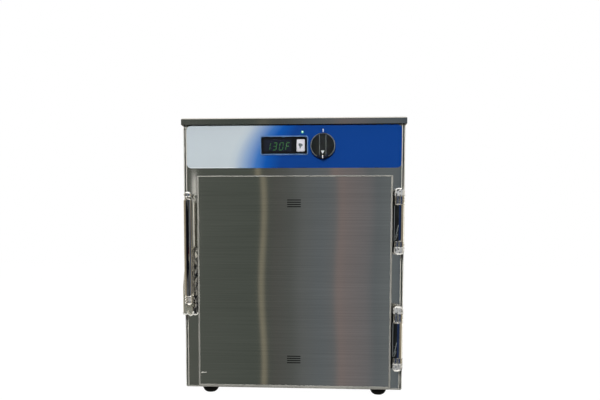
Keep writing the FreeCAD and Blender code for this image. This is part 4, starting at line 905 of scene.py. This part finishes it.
def fill_bottom_hem(form):
    # A rolled hem along the case's lower front edge, light and dull: a painted highlight along that edge
    low, front = shell.low.z, shell.low.y
    rows = []
    for x in (shell.low.x + 1.0, shell.high.x - 1.0):
        rows.append(row_of(form, [(x, front + 1.1 - 1.9 * math.cos(a) * 0.9, low + 0.3 + 2.0 * math.sin(a))
                                  for a in [math.radians(30 * step) for step in range(12)]]))
    join_rows(form, rows)


door_border = add_piece("door_border", "door", door_edge_highlight, fill_door_border, 60)
case_edges = add_piece("case_edges", "cabinet", highlight_and_wear_satin, fill_case_edges, 60)
case_shade_seams = add_piece("case_shade_seams", "cabinet", shade_black, fill_case_shade_seams)
bottom_hem = add_piece("bottom_hem", "cabinet", door_edge_highlight, fill_bottom_hem, 60)
print("edges", len(door_border.data.polygons), len(case_edges.data.polygons))

# %% [markdown]
# ## A scuff
#
# Low on the left of the door a knock has left a small bright scuff. It is a wedge as thin as a
# breath, in the same satin finish as the borders.

# %% Scuff


def fill_scuff(form):
    x, z = door.low.x + 5.6, door.low.z + 29.4
    flat_mark(form, [(x, z - 1.6), (x + 11.6, z + 0.4), (x + 11.0, z + 1.2), (x + 0.3, z + 1.5)], door.low.y, 0.03)


scuff = add_piece("scuff", "door", highlight_and_wear_satin, fill_scuff)
print("scuff", len(scuff.data.polygons), "faces")

# %% [markdown]
# ## Vents
#
# Behind each group of slots lies a black sheet, painted shade that makes the slots look black from
# the front. It is a thin sheet right behind the door's skin.

# %% Vent screens
vent_groups = (door.high.z - 55.2, door.low.z + 59.2)


def fill_vent_shade_screens(form):
    for z in vent_groups:
        outline = rounded_outline(door.mid.x - 20, door.mid.x + 20, z - 12, z + 12, 3.0)
        flat_mark(form, outline, door.low.y + 1.22, 0.14)


vent_shade_screens = add_piece("vent_shade_screens", "door", shade_black, fill_vent_shade_screens)
print("vent screens", len(vent_shade_screens.data.polygons), "faces")

# %% [markdown]
# ## Feet
#
# Each foot is a moulded rubber dome with a flat to stand on and a pocket for its screw. A dome is a
# profile turned round an upright axis, so the rounding comes from a list of radii and heights.

# %% Rubber feet
feet = place_of("rubber_feet")
foot_radius = 18.0


def fill_feet(form):
    profile = [(0, 7.0), (4.2, 7.0), (4.4, 0.5), (5.0, 0), (7.6, 0), (9.6, 0.5), (11.8, 1.8), (13.9, 3.7), (15.6, 6.4),
               (16.8, 9.4), (17.4, 12.6), (17.4, 15.0), (16.9, 15.6), (16.9, 16.4), (17.4, 17.0), (17.4, 19.9), (0, 19.9)]
    for x in (feet.low.x + foot_radius, feet.high.x - foot_radius):
        for y in (feet.low.y + foot_radius - 11.0, feet.high.y - foot_radius):
            lathe(form, profile, (x, y, 0), count=40)


rubber_domes = add_piece("rubber_domes", "cabinet", rubber, fill_feet, 45)
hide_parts("rubber_feet")
print("feet", len(rubber_domes.data.polygons), "faces")

# %% [markdown]
# ## Latch lever
#
# The lever is a chrome casting: a bar whose front swells to a rounded crown, a ball on top and three
# turned beads at the foot. The crown isn't in the middle, so the bar's broad left side mirrors one
# part of the room and its narrow right side another. The bar is one outline dragged upwards, and the
# ball and beads are turned.

# %% Cast chrome and the lever
lever_crown = [(-9.2, 7.5), (-9.1, 6.0), (-8.3, 4.9), (-6.5, 3.6), (-4.5, 2.25), (-2.4, 1.2), (0.0, 0.55), (2.2, 0.1),
               (3.4, 0.0), (4.5, 0.18), (5.4, 0.5), (6.2, 1.0), (6.9, 1.8), (7.4, 3.2), (7.6, 5.0), (7.4, 8.6),
               (5.8, 10.4), (3.0, 11.0), (-4.0, 11.0), (-7.0, 10.4), (-8.8, 9.2)]
ball_radius = 8.9
bead_radius = 8.8


def make_cast_chrome(name, wave_depth):
    # Plating over a rough casting: the same mirror, broken up by small hollows
    material, place = new_finish(name)
    hollows = place.speckle(260.0, 3.0, 0.6)
    haze = place.speckle(60.0, 3.0, 0.6)
    finished(place, {
        "Base Color": haze.eased(0.35, 0.7).between(tone(226, 226, 222), tone(246, 246, 244)),
        "Metallic": 1.0,
        "Roughness": 0.06 + haze * 0.05,
        "Normal": hollows.raised(1.0, wave_depth),
    })
    return material


def make_soft_chrome():
    # Small castings are tumbled before plating, which leaves them brighter and milkier than a mirror.
    #     # The dark flecks in the hollows are painted dark reflections.
    material, place = new_finish("soft_chrome")
    hollows = place.speckle(210.0, 3.0, 0.6)
    haze = place.speckle(70.0, 3.0, 0.6)
    finished(place, {
        "Base Color": hollows.eased(0.34, 0.44).between(tone(70, 78, 86), tone(246, 247, 244)),
        "Metallic": 0.88,
        "Roughness": 0.05 + haze * 0.08,
        "Normal": hollows.raised(0.9, 0.35),
    })
    return material


def make_white_highlight_casting():
    # Painted highlight for the hinge ends: near white and half dull so that the lamps light it, with
    #     # dark cracks painted as dark reflections
    material, place = new_finish("white_highlight_casting")
    cracks = place.stretched((1, 1, 0.6)).speckle(300.0, 2.0, 0.6)
    haze = place.speckle(70.0, 3.0, 0.6)
    finished(place, {
        "Base Color": cracks.eased(0.38, 0.47).between(tone(40, 46, 54), tone(252, 252, 248)),
        "Metallic": 0.55,
        "Roughness": 0.1 + haze * 0.12,
        "Normal": cracks.raised(0.9, 0.5),
    })
    return material


def make_latch_casting():
    # Smooth on the left, where a hand slides over it, and crinkled on the right, where dark patches
    #     # in the colour are painted dark reflections among the hollows
    material, place = new_finish("latch_casting")
    hollows = place.stretched((1, 1, 0.45)).speckle(230.0, 3.0, 0.6)
    haze = place.speckle(60.0, 3.0, 0.6)
    rough_side = (place.part(0) * (1 / mm)).eased(crinkle_start - 1.5, crinkle_start + 1.5)
    bump = (hollows * (rough_side * 0.96 + 0.04)).raised(1.0, 4.5)
    finished(place, {
        "Base Color": (rough_side * hollows.eased(0.62, 0.4)).between(tone(246, 243, 232), tone(40, 46, 50)),
        "Metallic": 0.86,
        "Roughness": 0.08 + haze * 0.08,
        "Normal": bump,
    })
    return material


crinkle_start = place_of("latch_base").mid.x + 4.4
cast_chrome = make_latch_casting()
soft_chrome = make_soft_chrome()
white_highlight_casting = make_white_highlight_casting()
wavy_chrome = make_cast_chrome("wavy_chrome", 0.7)


def fill_lever(form):
    bar_low, bar_high = lever.low.z + 18.5, lever.high.z - 15.5
    stations = [(bar_low - 2.5, 0.55), (bar_low, 0.82), (bar_low + 3.5, 1.0), (bar_high - 4.0, 1.0), (bar_high - 1.2, 0.9),
                (bar_high + 0.8, 0.66)]
    rows = []
    for z, scale in stations:
        rows.append(row_of(form, [(lever.mid.x + x * scale, lever.low.y + 5.5 + (y - 5.5) * scale, z)
                                  for x, y in lever_crown]))
    join_rows(form, rows)
    form.faces.new(rows[-1])
    form.faces.new(list(reversed(rows[0])))


def fill_lever_ball(form):
    centre = (lever.mid.x - 0.8, lever.low.y + 9.1, lever.high.z - 6.6)
    steps = []
    for step in range(15):
        angle = math.pi * step / 14 - math.pi / 2
        steps.append((ball_radius * math.cos(angle), 7.3 * math.sin(angle)))
    lathe(form, steps, centre, count=28)


def fill_lever_foot(form):
    steps = [(0, 0), (4.6, 0), (5.6, 0.7), (6.4, 2.4)]
    for bead in range(3):
        z = 2.6 + bead * 5.3
        steps += [(6.9, z), (8.0, z + 0.7), (bead_radius, z + 2.0), (bead_radius, z + 3.0), (8.0, z + 4.3), (6.9, z + 5.0)]
    steps += [(5.4, 19.4), (0, 19.4)]
    lathe(form, steps, (lever.mid.x, lever.low.y + bead_radius + 0.35, lever.low.z), count=36)


lever_bar = add_piece("lever_bar", "latch_lever", chrome, fill_lever, 50)
lever_ball = add_piece("lever_ball", "latch_lever", soft_chrome, fill_lever_ball, 50)
lever_foot = add_piece("lever_foot", "latch_lever", chrome, fill_lever_foot, 50)


def fill_lever_boss(form):
    # The hub that turns on the pin, behind the foot
    pin_y, pin_z = place_of("latch_pin").mid.y, place_of("latch_pin").mid.z
    lathe(form, [(2.6, -7.7), (8.4, -7.7), (9.0, -7.1), (9.0, 7.1), (8.4, 7.7), (2.6, 7.7), (2.6, -7.7)],
          (lever.mid.x, pin_y, pin_z), axis="X", count=36)
    web = [(-3.5, lever.low.y + 9.0), (3.5, lever.low.y + 9.0), (5.5, pin_y), (-5.5, pin_y)]
    rows = [row_of(form, [(lever.mid.x + x, y, z) for x, y in web]) for z in (pin_z + 0.5, pin_z + 8.0)]
    join_rows(form, rows)
    form.faces.new(rows[-1])
    form.faces.new(list(reversed(rows[0])))


def fill_latch_bead(form):
    # A rolled bead along the scallops of the base's lower end: small, big, small. Its near white,
    #     # dull finish is a painted highlight along the lower edges of the scallops.
    base = place_of("latch_base")
    front = base.low.y + 1.4
    for x, half, top, drop in ((base.low.x + 4.6, 4.2, 4.8, 4.4), (base.mid.x - 0.6, 6.0, 7.0, 8.6), (base.high.x - 6.0, 5.0, 4.8, 4.6)):
        points = []
        for step in range(13):
            angle = math.pi * (1 + step / 12)
            points.append((x + half * math.cos(angle), front, base.low.z + top + drop * math.sin(angle)))
        tube(form, points, 1.5, 10)


latch_bead = add_piece("latch_bead", "door", bead_highlight_white, fill_latch_bead, 60)
frame["nodes"]["latch_base"].data.materials[0] = cast_chrome
lever_boss = add_piece("lever_boss", "latch_lever", chrome, fill_lever_boss, 40)
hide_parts("latch_lever")
print("lever", len(lever_bar.data.polygons), "ball", len(lever_ball.data.polygons), "foot", len(lever_foot.data.polygons))

# %% [markdown]
# ## Hinge covers, caps and rings
#
# The barrel in the middle of each hinge is open on the side towards the door, and shows the black
# cam inside. Bright chrome wraps the rest of it. A rolled ring covers the upper joint, and each end
# is cast into two blunt lobes, one over the barrel and a smaller one over the arm from the door.

# %% Hinge details
hinge_radius = 10.3
hinge_tops = (399.9, 164.1)
hinge_feet = (326.9, 91.1)
hinge_highs = (432.9, 197.1)
hinge_lows = (298.9, 63.1)
hinge_axis = Vector(((place_of("hinge_pins").mid.x), place_of("hinge_pins").mid.y, 0))


def on_axis(z, dx=0.0, dy=0.0):
    return (hinge_axis.x + dx, hinge_axis.y + dy, z)


def fill_barrel_covers(form):
    # A bright shell round the front and right of the middle barrel. It sits a little to the left
    for low, high in zip(hinge_feet, hinge_tops):
        steps = [(11.4, 0.9), (11.85, 1.3), (11.85, high - low - 1.3), (11.4, high - low - 0.9)]
        lathe(form, steps, on_axis(low, -1.2), count=30, turn=(-91, 50))


def fill_hinge_rings(form):
    for z in hinge_tops:
        ring = [(10.7 + 0.85 * math.cos(a), 0.85 * math.sin(a)) for a in [math.radians(45 * k) for k in range(9)]]
        lathe(form, ring, on_axis(z - 0.6, -0.4), count=36, turn=(-190, 60))


lobes = [(-5.2, -4.4, 4.7), (2.2, -0.6, 8.9)]


def lobed_row(form, z, scale):
    # Outline of a knuckle: a small round towards the door and a big one over the pin, as one curve
    points = []
    for step in range(40):
        angle = 2 * math.pi * step / 40
        out = Vector((math.cos(angle), math.sin(angle)))
        reach = 0.0
        for x, y, radius in lobes:
            centre = Vector((x + 1.0, y))
            forward = centre.dot(out)
            room = forward * forward - centre.dot(centre) + radius * radius
            if room > 0:
                reach = max(reach, forward + math.sqrt(room))
        points.append(on_axis(z, -1.0 + out.x * reach * scale, out.y * reach * scale - 1.0 + scale))
    return row_of(form, points)


knuckles = ((399.9, 432.9), (326.9, 298.9), (164.1, 197.1), (91.1, 63.1))
cap_length = 16.0


def fill_hinge_knuckles(form):
    # The straight part, from the joint to the cap
    for foot, tip in knuckles:
        side = 1 if tip > foot else -1
        steps = ((0.3, 0.94), (1.1, 1.0), (abs(tip - foot) - cap_length - 0.9, 1.0), (abs(tip - foot) - cap_length, 0.93))
        rows = [lobed_row(form, foot + side * rise, scale) for rise, scale in steps]
        join_rows(form, rows)
        form.faces.new(rows[0])
        form.faces.new(rows[-1])


def fill_hinge_caps(form):
    # The domed cap, with a bead where it starts
    for foot, tip in knuckles:
        side = 1 if tip > foot else -1
        start = foot + side * (abs(tip - foot) - cap_length)
        steps = [(0.0, 0.93), (0.9, 1.04), (2.2, 1.05), (3.2, 0.98), (8.0, 1.0)]
        for step in range(1, 8):
            angle = math.radians(90 * step / 7.4)
            steps.append((8.0 + 8.0 * math.sin(angle), math.cos(angle) ** 0.7))
        rows = [lobed_row(form, start + side * rise, scale) for rise, scale in steps]
        join_rows(form, rows)
        form.faces.new(rows[0])
        form.faces.new(rows[-1])


def fill_hinge_shadow_shims(form):
    # Black strips between the leaves and the door's edge: painted shade of the gap there
    edge = door.high.x
    for low, high in zip(hinge_lows, hinge_highs):
        rows = [row_of(form, [(edge + 0.3 + depth, y, z) for y, z in
                              rounded_outline(-229.5, -208.4, low + 6, high - 6, 2.0)]) for depth in (0, 3.2)]
        join_rows(form, rows)
        form.faces.new(rows[0])
        form.faces.new(rows[1])


def fill_hinge_leaves(form):
    # Plates on the door's edge, each with two arms that slope back to the knuckles
    edge = door.high.x
    for low, high in zip(hinge_lows, hinge_highs):
        plate = rounded_outline(-224.0, -208.4, low + 9, high - 9, 3.0)
        rows = [row_of(form, [(edge + depth, y, z) for y, z in plate]) for depth in (3.6, 5.4)]
        join_rows(form, rows)
        form.faces.new(rows[0])
        form.faces.new(rows[1])
        for foot, tip in ((low + 10.0, low + 27.0), (high - 10.0, high - 31.0)):
            section = [(edge + 1.6, -216.6), (hinge_axis.x - 3.0, -221.4), (hinge_axis.x - 3.0, -226.0 + 9.5),
                       (edge + 1.6, -211.5)]
            rows = [row_of(form, [(x, y, z) for x, y in section]) for z in (foot, tip)]
            join_rows(form, rows)
            form.faces.new(rows[1])
            form.faces.new(list(reversed(rows[0])))


def fill_hinge_highlight_arcs(form):
    # Two curved ribs of the cam, which lifts the door as it turns. Their lighter grey is a painted
    #     # highlight on the cam's ramp faces.
    for low, high in zip(hinge_feet, hinge_tops):
        for foot, reach, start, end in ((low + 8.0, 24.0, -158, -104), (low + 3.0, 12.0, -150, -112)):
            points = []
            for step in range(11):
                t = step / 10
                angle = math.radians(start + (end - start) * t)
                points.append(on_axis(foot + reach * t ** 1.8, 8.1 * math.cos(angle), 8.1 * math.sin(angle)))
            tube(form, points, 0.75, 8)


barrel_covers = add_piece("barrel_covers", "cabinet", chrome, fill_barrel_covers, 40)
hinge_rings = add_piece("hinge_rings", "door", chrome, fill_hinge_rings, 60)
hinge_knuckles = add_piece("hinge_knuckles", "door", wavy_chrome, fill_hinge_knuckles, 50)
# The caps' near white finish is a painted highlight on the ends of the hinges.
hinge_caps = add_piece("hinge_caps", "door", white_highlight_casting, fill_hinge_caps, 50)
hinge_leaves = add_piece("hinge_leaves", "door", chrome, fill_hinge_leaves, 30)
hinge_shadow_shims = add_piece("hinge_shadow_shims", "door", shade_black, fill_hinge_shadow_shims, 30)
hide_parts("hinge_door_leaves")
cam_highlight_grey = make_moulded("cam_highlight_grey", tone(130, 136, 136), tone(160, 166, 164), 0.3, 0.1)
hinge_highlight_arcs = add_piece("hinge_highlight_arcs", "cabinet", cam_highlight_grey, fill_hinge_highlight_arcs, 60)
print("hinge pieces", [len(piece.data.polygons) for piece in (barrel_covers, hinge_rings, hinge_knuckles, hinge_highlight_arcs)])

# %% [markdown]
# ## Wire shelf
#
# The shelf is a bent wire frame with twelve rods welded across it and two ties underneath. In the
# solid model the wires have flat sides to keep it light. Here they are round tubes along the same
# lines, so they catch the light as real wires do.

# %% Wire shelf
shelf = place_of("wire_shelf")
frame_wire, rod_wire = 3.2, 1.9
rod_count = 12


def fill_shelf(form):
    left, right = shelf.low.x + frame_wire, shelf.high.x - frame_wire
    front, rear = shelf.low.y + frame_wire, shelf.high.y - frame_wire
    frame_z = shelf.high.z - 2 * rod_wire - frame_wire + 1.0
    corners = [(right, front, frame_z), (right, rear, frame_z), (left, rear, frame_z), (left, front, frame_z)]
    middle = ((left + right) / 2, front, frame_z)
    tube(form, bend_points([middle] + corners + [middle], 14.0), frame_wire, 14)
    rod_z = shelf.high.z - rod_wire
    for step in range(1, rod_count + 1):
        x = left + step * (right - left) / (rod_count + 1)
        tube(form, [(x, front, rod_z), (x, rear, rod_z)], rod_wire, 12)
    for step in (1, 2):
        y = front + step * (rear - front) / 3
        tube(form, [(left, y, rod_z - 2 * rod_wire + 0.7), (right, y, rod_z - 2 * rod_wire + 0.7)], rod_wire, 12)


shelf_wires = add_piece("shelf_wires", "cabinet", chrome, fill_shelf, 50)
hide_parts("wire_shelf")
print("shelf", len(shelf_wires.data.polygons), "faces")

# %% [markdown]
# ## Screws
#
# Screws are small, and a maker sees at once when they are missing. A pan head is turned: a flat
# with a rounded rim. The cross in it is a thin black star, painted shade of the recess, since the hole
# is too small to see into.

# %% Screws


def add_screws(name, body, places, radius, height, axis="Y", out=1):
    # Places are points on the surface; out is the side of the axis that the heads look to
    def fill_heads(form):
        steps = [(radius, 0), (radius, height * 0.35), (radius * 0.86, height * 0.78), (radius * 0.6, height), (0, height)]
        for place in places:
            lathe(form, [(r, h * out) for r, h in steps], place, axis=axis, count=20)

    def fill_crosses(form):
        for place in places:
            for turn in (0.4, 0.4 + math.pi / 2):
                along = Vector((math.cos(turn), math.sin(turn))) * radius * 0.55
                side = Vector((-along.y, along.x)) * 0.24
                corners = [along + side, -along + side, -along - side, along - side]
                offset = {"Y": lambda p: (p.x, (height + 0.05) * out, p.y), "X": lambda p: ((height + 0.05) * out, p.x, p.y),
                          "Z": lambda p: (p.x, p.y, (height + 0.05) * out)}[axis]
                form.faces.new(row_of(form, [Vector(place) + Vector(offset(corner)) for corner in corners]))

    heads = add_piece(name, body, zinc_steel, fill_heads, 50)
    add_piece(name + "_crosses", body, shade_black, fill_crosses)
    return heads


back = shell.high.y
rear_face = place_of("rear_panel")
rear_y = 246.25
rear_places = [(side * 216.0, rear_y, z) for side in (-1, 1) for z in (36.0, 165.0, 297.0, 430.0, 548.0)]
rear_places += [(0.0, rear_y, 36.0), (0.0, rear_y, 548.0)]
inlet = place_of("power_inlet")
inlet_places = [(inlet.mid.x + side * (inlet.size.x / 2 - 4.6), inlet.high.y, inlet.mid.z) for side in (-1, 1)]
baffle = place_of("air_baffle")
baffle_places = [(x, baffle.low.y, z) for x in (baffle.low.x + 12.0, baffle.high.x - 12.0)
                 for z in (baffle.low.z + 14.0, baffle.mid.z + 90.0, baffle.high.z - 14.0)]
foot_places = [(x, y, 7.0) for x in (feet.low.x + foot_radius, feet.high.x - foot_radius)
               for y in (feet.low.y + foot_radius - 11.0, feet.high.y - foot_radius)]
leaf_places = [(door.high.x + 5.4, -214.5, z) for low, high in zip(hinge_lows, hinge_highs) for z in (low + 42.0, high - 47.0)]
screws = [add_screws("rear_screws", "cabinet", rear_places, 3.6, 2.0), add_screws("inlet_screws", "cabinet", inlet_places, 2.6, 1.1),
          add_screws("baffle_screws", "cabinet", baffle_places, 3.2, 1.8, out=-1),
          add_screws("foot_screws", "cabinet", foot_places, 3.6, 2.0, axis="Z", out=-1),
          add_screws("leaf_screws", "door", leaf_places, 2.8, 0.9, axis="X")]
print("screws", [screw.name for screw in screws])
print("inner pan", place_of("door_inner_pan"), "inlet", inlet, "baffle", baffle)

# %% [markdown]
# ## Camera
#
# The photograph was taken with a short lens from a little over a metre, slightly above the middle
# of the cabinet and slightly right of it. The camera looks down by four degrees and its frame is
# shifted up, as a product photographer does to keep upright lines upright. The place and angles
# were worked out from the straight edges of the case, the lid and the door.

# %% Camera
camera_place = Vector((83.75, -1436.88, 349.15)) * mm
camera_yaw = math.radians(-3.214)
camera_pitch = math.radians(4.247)
camera_roll = math.radians(0.137)
frame_pixels_wide = 600
optical_axis_row = 274.4
middle_row = 200


def aim(yaw, pitch, roll):
    ahead = Vector((math.sin(yaw) * math.cos(pitch), math.cos(yaw) * math.cos(pitch), -math.sin(pitch)))
    right = Vector((math.cos(yaw), -math.sin(yaw), 0))
    up = right.cross(ahead)
    turned_right = right * math.cos(roll) + up * math.sin(roll)
    turned_up = up * math.cos(roll) - right * math.sin(roll)
    return Matrix((turned_right, turned_up, -ahead)).transposed().to_4x4()


lens = bpy.data.cameras.new("camera")
lens.sensor_width = 36
lens.lens = 36
lens.shift_y = (optical_axis_row - middle_row) / frame_pixels_wide
camera = bpy.data.objects.new("camera", lens)
scene.collection.objects.link(camera)
camera.matrix_world = Matrix.Translation(camera_place) @ aim(camera_yaw, camera_pitch, camera_roll)
scene.camera = camera
scene.view_settings.view_transform = "Standard"
print("camera at", [round(c, 3) for c in camera_place], "shift", round(lens.shift_y, 4))

# %% [markdown]
# ## The room that the metal sees
#
# Polished metal has hardly any colour of its own: it shows the room. A product studio is a dark
# room with a white sweep under and behind the object and large soft panels round it. The world is
# therefore white for the eye and for dull surfaces, and nearly black for mirrors. The floor isn't
# there for mirrors at all, so only the panels light the metal.

# %% Room and floor
floor_size = 9.0
room_for_mirrors = (0.085, 0.090, 0.098, 1.0)


def ray_is(wire, kind):
    return wire.node("LightPath", {}, {}, kind)


def make_room():
    world = bpy.data.worlds.new("studio_room")
    world.use_nodes = True
    world.node_tree.nodes.clear()
    start = Wire(world.node_tree)
    seen = ray_is(start, "Is Glossy Ray").between(grey(0.2), room_for_mirrors)
    seen = ray_is(start, "Is Camera Ray").between(seen, grey(1.0))
    light = start.node("Background", {}, {"Color": seen, "Strength": 1.0})
    start.node("OutputWorld", {}, {"Surface": light})
    return world


def make_floor_finish():
    material, place = new_finish("floor_white")
    dust = place.speckle(3.0, 2.0)
    white = place.node("BsdfDiffuse", {}, {"Color": dust.between(grey(0.05), grey(0.06))})
    glow = place.node("Emission", {}, {"Color": grey(1.0), "Strength": 0.99})
    lit = place.node("AddShader", {}, {0: white, 1: glow})
    place.node("OutputMaterial", {}, {"Surface": lit})
    return material


def fill_floor(form):
    bmesh.ops.create_grid(form, x_segments=1, y_segments=1, size=floor_size / 2)


def add_stage(name, material, fill):
    mesh = bpy.data.meshes.new(name)
    form = bmesh.new()
    fill(form)
    form.to_mesh(mesh)
    form.free()
    made = bpy.data.objects.new(name, mesh)
    scene.collection.objects.link(made)
    made.data.materials.append(material)
    return made


scene.world = make_room()
floor = add_stage("floor", make_floor_finish(), fill_floor)
floor.visible_glossy = False
floor.visible_diffuse = False
print("floor", floor_size, "m wide")

# %% [markdown]
# ## The panel that the door mirrors
#
# A large panel behind the camera is what the door and the header mirror. It isn't even: soft
# upright bands, some warm and some cool, give the steel its life. It would be hard to guess where
# on the panel a band must sit, so the list says what the door shows at each distance from the
# middle, and the law of mirrors gives the place on the panel: the same angle out as in.

# %% Panel behind the camera
steel_return = 0.53
front_panel_y = -3000.0
front_panel_wide = 4600.0
front_panel_high = 5200.0
door_shows = [
    (-640, tone(8, 10, 18)), (-312, tone(10, 12, 20)), (-296, tone(84, 84, 78)), (-178, tone(74, 77, 72)), (-66, tone(69, 73, 68)), (-62, tone(122, 116, 100)),
    (-57, tone(120, 115, 99)), (-53, tone(69, 72, 68)), (-34, tone(74, 74, 71)), (-2, tone(77, 79, 77)),
    (20, tone(86, 88, 88)), (60, tone(88, 92, 95)), (84, tone(92, 94, 96)), (94, tone(112, 101, 99)),
    (112, tone(106, 99, 99)), (150, tone(99, 97, 99)), (168, tone(88, 92, 95)), (192, tone(93, 97, 99)),
    (228, tone(90, 95, 98)), (238, tone(24, 36, 64)), (640, tone(14, 26, 52)),
]


def place_on_panel(door_x):
    camera_away = door.low.y - camera_place.y / mm
    panel_away = door.low.y - front_panel_y
    across = door_x + (door_x - camera_place.x / mm) * panel_away / camera_away
    return 0.5 + across / front_panel_wide


def add_panel(name, centre, width, height, facing, stops):
    # A glowing card, in millimetres. Its bands run upright, and its stops go from left to right
    # for someone who stands behind the card and looks towards the cabinet.
    material = bpy.data.materials.new(name)
    material.use_nodes = True
    material.node_tree.nodes.clear()
    start = Wire(material.node_tree)
    along = start.node("TexCoord", {}, {}, "Object").part(0) * (1 / (width * mm)) + 0.5
    colour = along.node("ValToRGB", {"stops": stops}, {0: along})
    glow = along.node("Emission", {}, {"Color": colour, "Strength": 1.0})
    along.node("OutputMaterial", {}, {"Surface": glow})

    def fill(form):
        corners = [(-1, -1), (1, -1), (1, 1), (-1, 1)]
        form.faces.new([form.verts.new(Vector((x * width, y * height, 0)) * mm / 2) for x, y in corners])

    made = add_stage(name, material, fill)
    out = Vector(facing).normalized()
    top = Vector((0, 1, 0)) if abs(out.z) > 0.9 else Vector((0, 0, 1))
    right = out.cross(top).normalized()
    turn = Matrix((right, right.cross(out), -out)).transposed().to_4x4()
    made.matrix_world = Matrix.Translation(Vector(centre) * mm) @ turn
    made.visible_camera = False
    made.visible_diffuse = False
    made.visible_shadow = False
    return made


front_stops = [(place_on_panel(x), tuple(c / steel_return for c in colour[:3]) + (1.0,)) for x, colour in door_shows]
front_panel = add_panel("front_panel", (0, front_panel_y, 300), front_panel_wide, front_panel_high, (0, 1, 0), front_stops)
print("front panel stops", [round(at, 3) for at, colour in front_stops])

# %% [markdown]
# ## Panels round the sides, above, below and behind
#
# The panels at the sides draw the bright lines on the bends of the case and on the round chrome.
# The one above and the one far below light the ends of the hinges and the upper and lower edges of
# the door. They lie outside the directions that the flat front mirrors, so the door stays calm.

# %% Other panels
cream = tone(150, 141, 122)
bright = (1.5, 1.45, 1.36, 1.0)
dim = (0.03, 0.035, 0.05, 1.0)


def tinted(colour, level):
    return (*[c * level for c in colour[:3]], 1.0)


rim_light = (1.7, 1.65, 1.55, 1.0)
left_stops = [(0.0, rim_light), (0.40, rim_light), (0.43, cream), (0.8, cream), (0.97, tinted(cream, 0.35)), (1.0, dim)]
right_stops = [(0.0, dim), (0.04, dim), (0.06, cream), (0.61, cream), (0.64, rim_light), (1.0, rim_light)]
even_white = [(0.0, tinted(bright, 0.3)), (0.3, bright), (0.7, bright), (1.0, tinted(bright, 0.3))]
even_red = [(0.0, tone(96, 26, 34)), (1.0, tone(84, 24, 34))]
even_cream = [(0.0, tone(190, 184, 160)), (1.0, tone(176, 170, 150))]
even_dark = [(0.0, tone(10, 12, 20)), (1.0, tone(12, 14, 20))]
even_navy = [(0.0, tone(20, 32, 60)), (1.0, tone(30, 42, 66))]
even_strip = [(0.0, tinted(bright, 0.5)), (1.0, tinted(bright, 0.8))]
even_grey = [(0.0, tinted(cream, 0.6)), (0.5, cream), (1.0, tinted(cream, 0.6))]
panels = [
    add_panel("right_navy_card", (2190, -2550, 270), 900, 1250, (-1, 0, 0), even_navy),
    add_panel("left_dark_card", (-2190, -2050, 270), 1900, 1250, (1, 0, 0), even_dark),
    add_panel("left_panel", (-2200, 400, 600), 3000, 4200, (1, 0, 0), left_stops),
    add_panel("right_panel", (2200, 150, 600), 3700, 4200, (-1, 0, 0), right_stops),
    add_panel("dark_red_card", (-1560, -2985, 50), 640, 180, (0, 1, 0), even_red),
    add_panel("strip_card", (-856, -2990, 445), 30, 540, (0, 1, 0), even_strip),
    add_panel("cream_card", (-1560, -2985, -92), 640, 84, (0, 1, 0), even_cream),
    add_panel("top_panel", (0, -300, 2600), 4600, 2600, (0, 0, -1), even_white),
    add_panel("under_panel", (0, -600, -2200), 5600, 2800, (0, 0, 1), even_white),
    add_panel("rear_panel_card", (0, 3000, 600), 4200, 4200, (0, -1, 0), even_grey),
]
print("panels", [panel.name for panel in panels])

# %% [markdown]
# ## Soft lamps for the dull pieces
#
# Plastics, inks and the floor need real light. Two large soft lamps give it, one from above in
# front and one from above behind. They are hidden from mirrors, so they don't spoil the steel.

# %% Soft lamps


def add_lamp(name, centre, size, watts):
    light = bpy.data.lights.new(name, "AREA")
    light.shape = "SQUARE"
    light.size = size
    light.energy = watts
    made = bpy.data.objects.new(name, light)
    scene.collection.objects.link(made)
    made.location = centre
    made.rotation_euler = (Vector((0, 0, 0.3)) - Vector(centre)).to_track_quat("-Z", "Y").to_euler()
    made.visible_glossy = False
    return made


key_lamp = add_lamp("key_lamp", (0.02, -1.75, 0.92), 0.3, 19)
top_lamp = add_lamp("top_lamp", (0.5, -0.2, 2.4), 1.8, 16)
print("lamps", key_lamp.name, top_lamp.name)
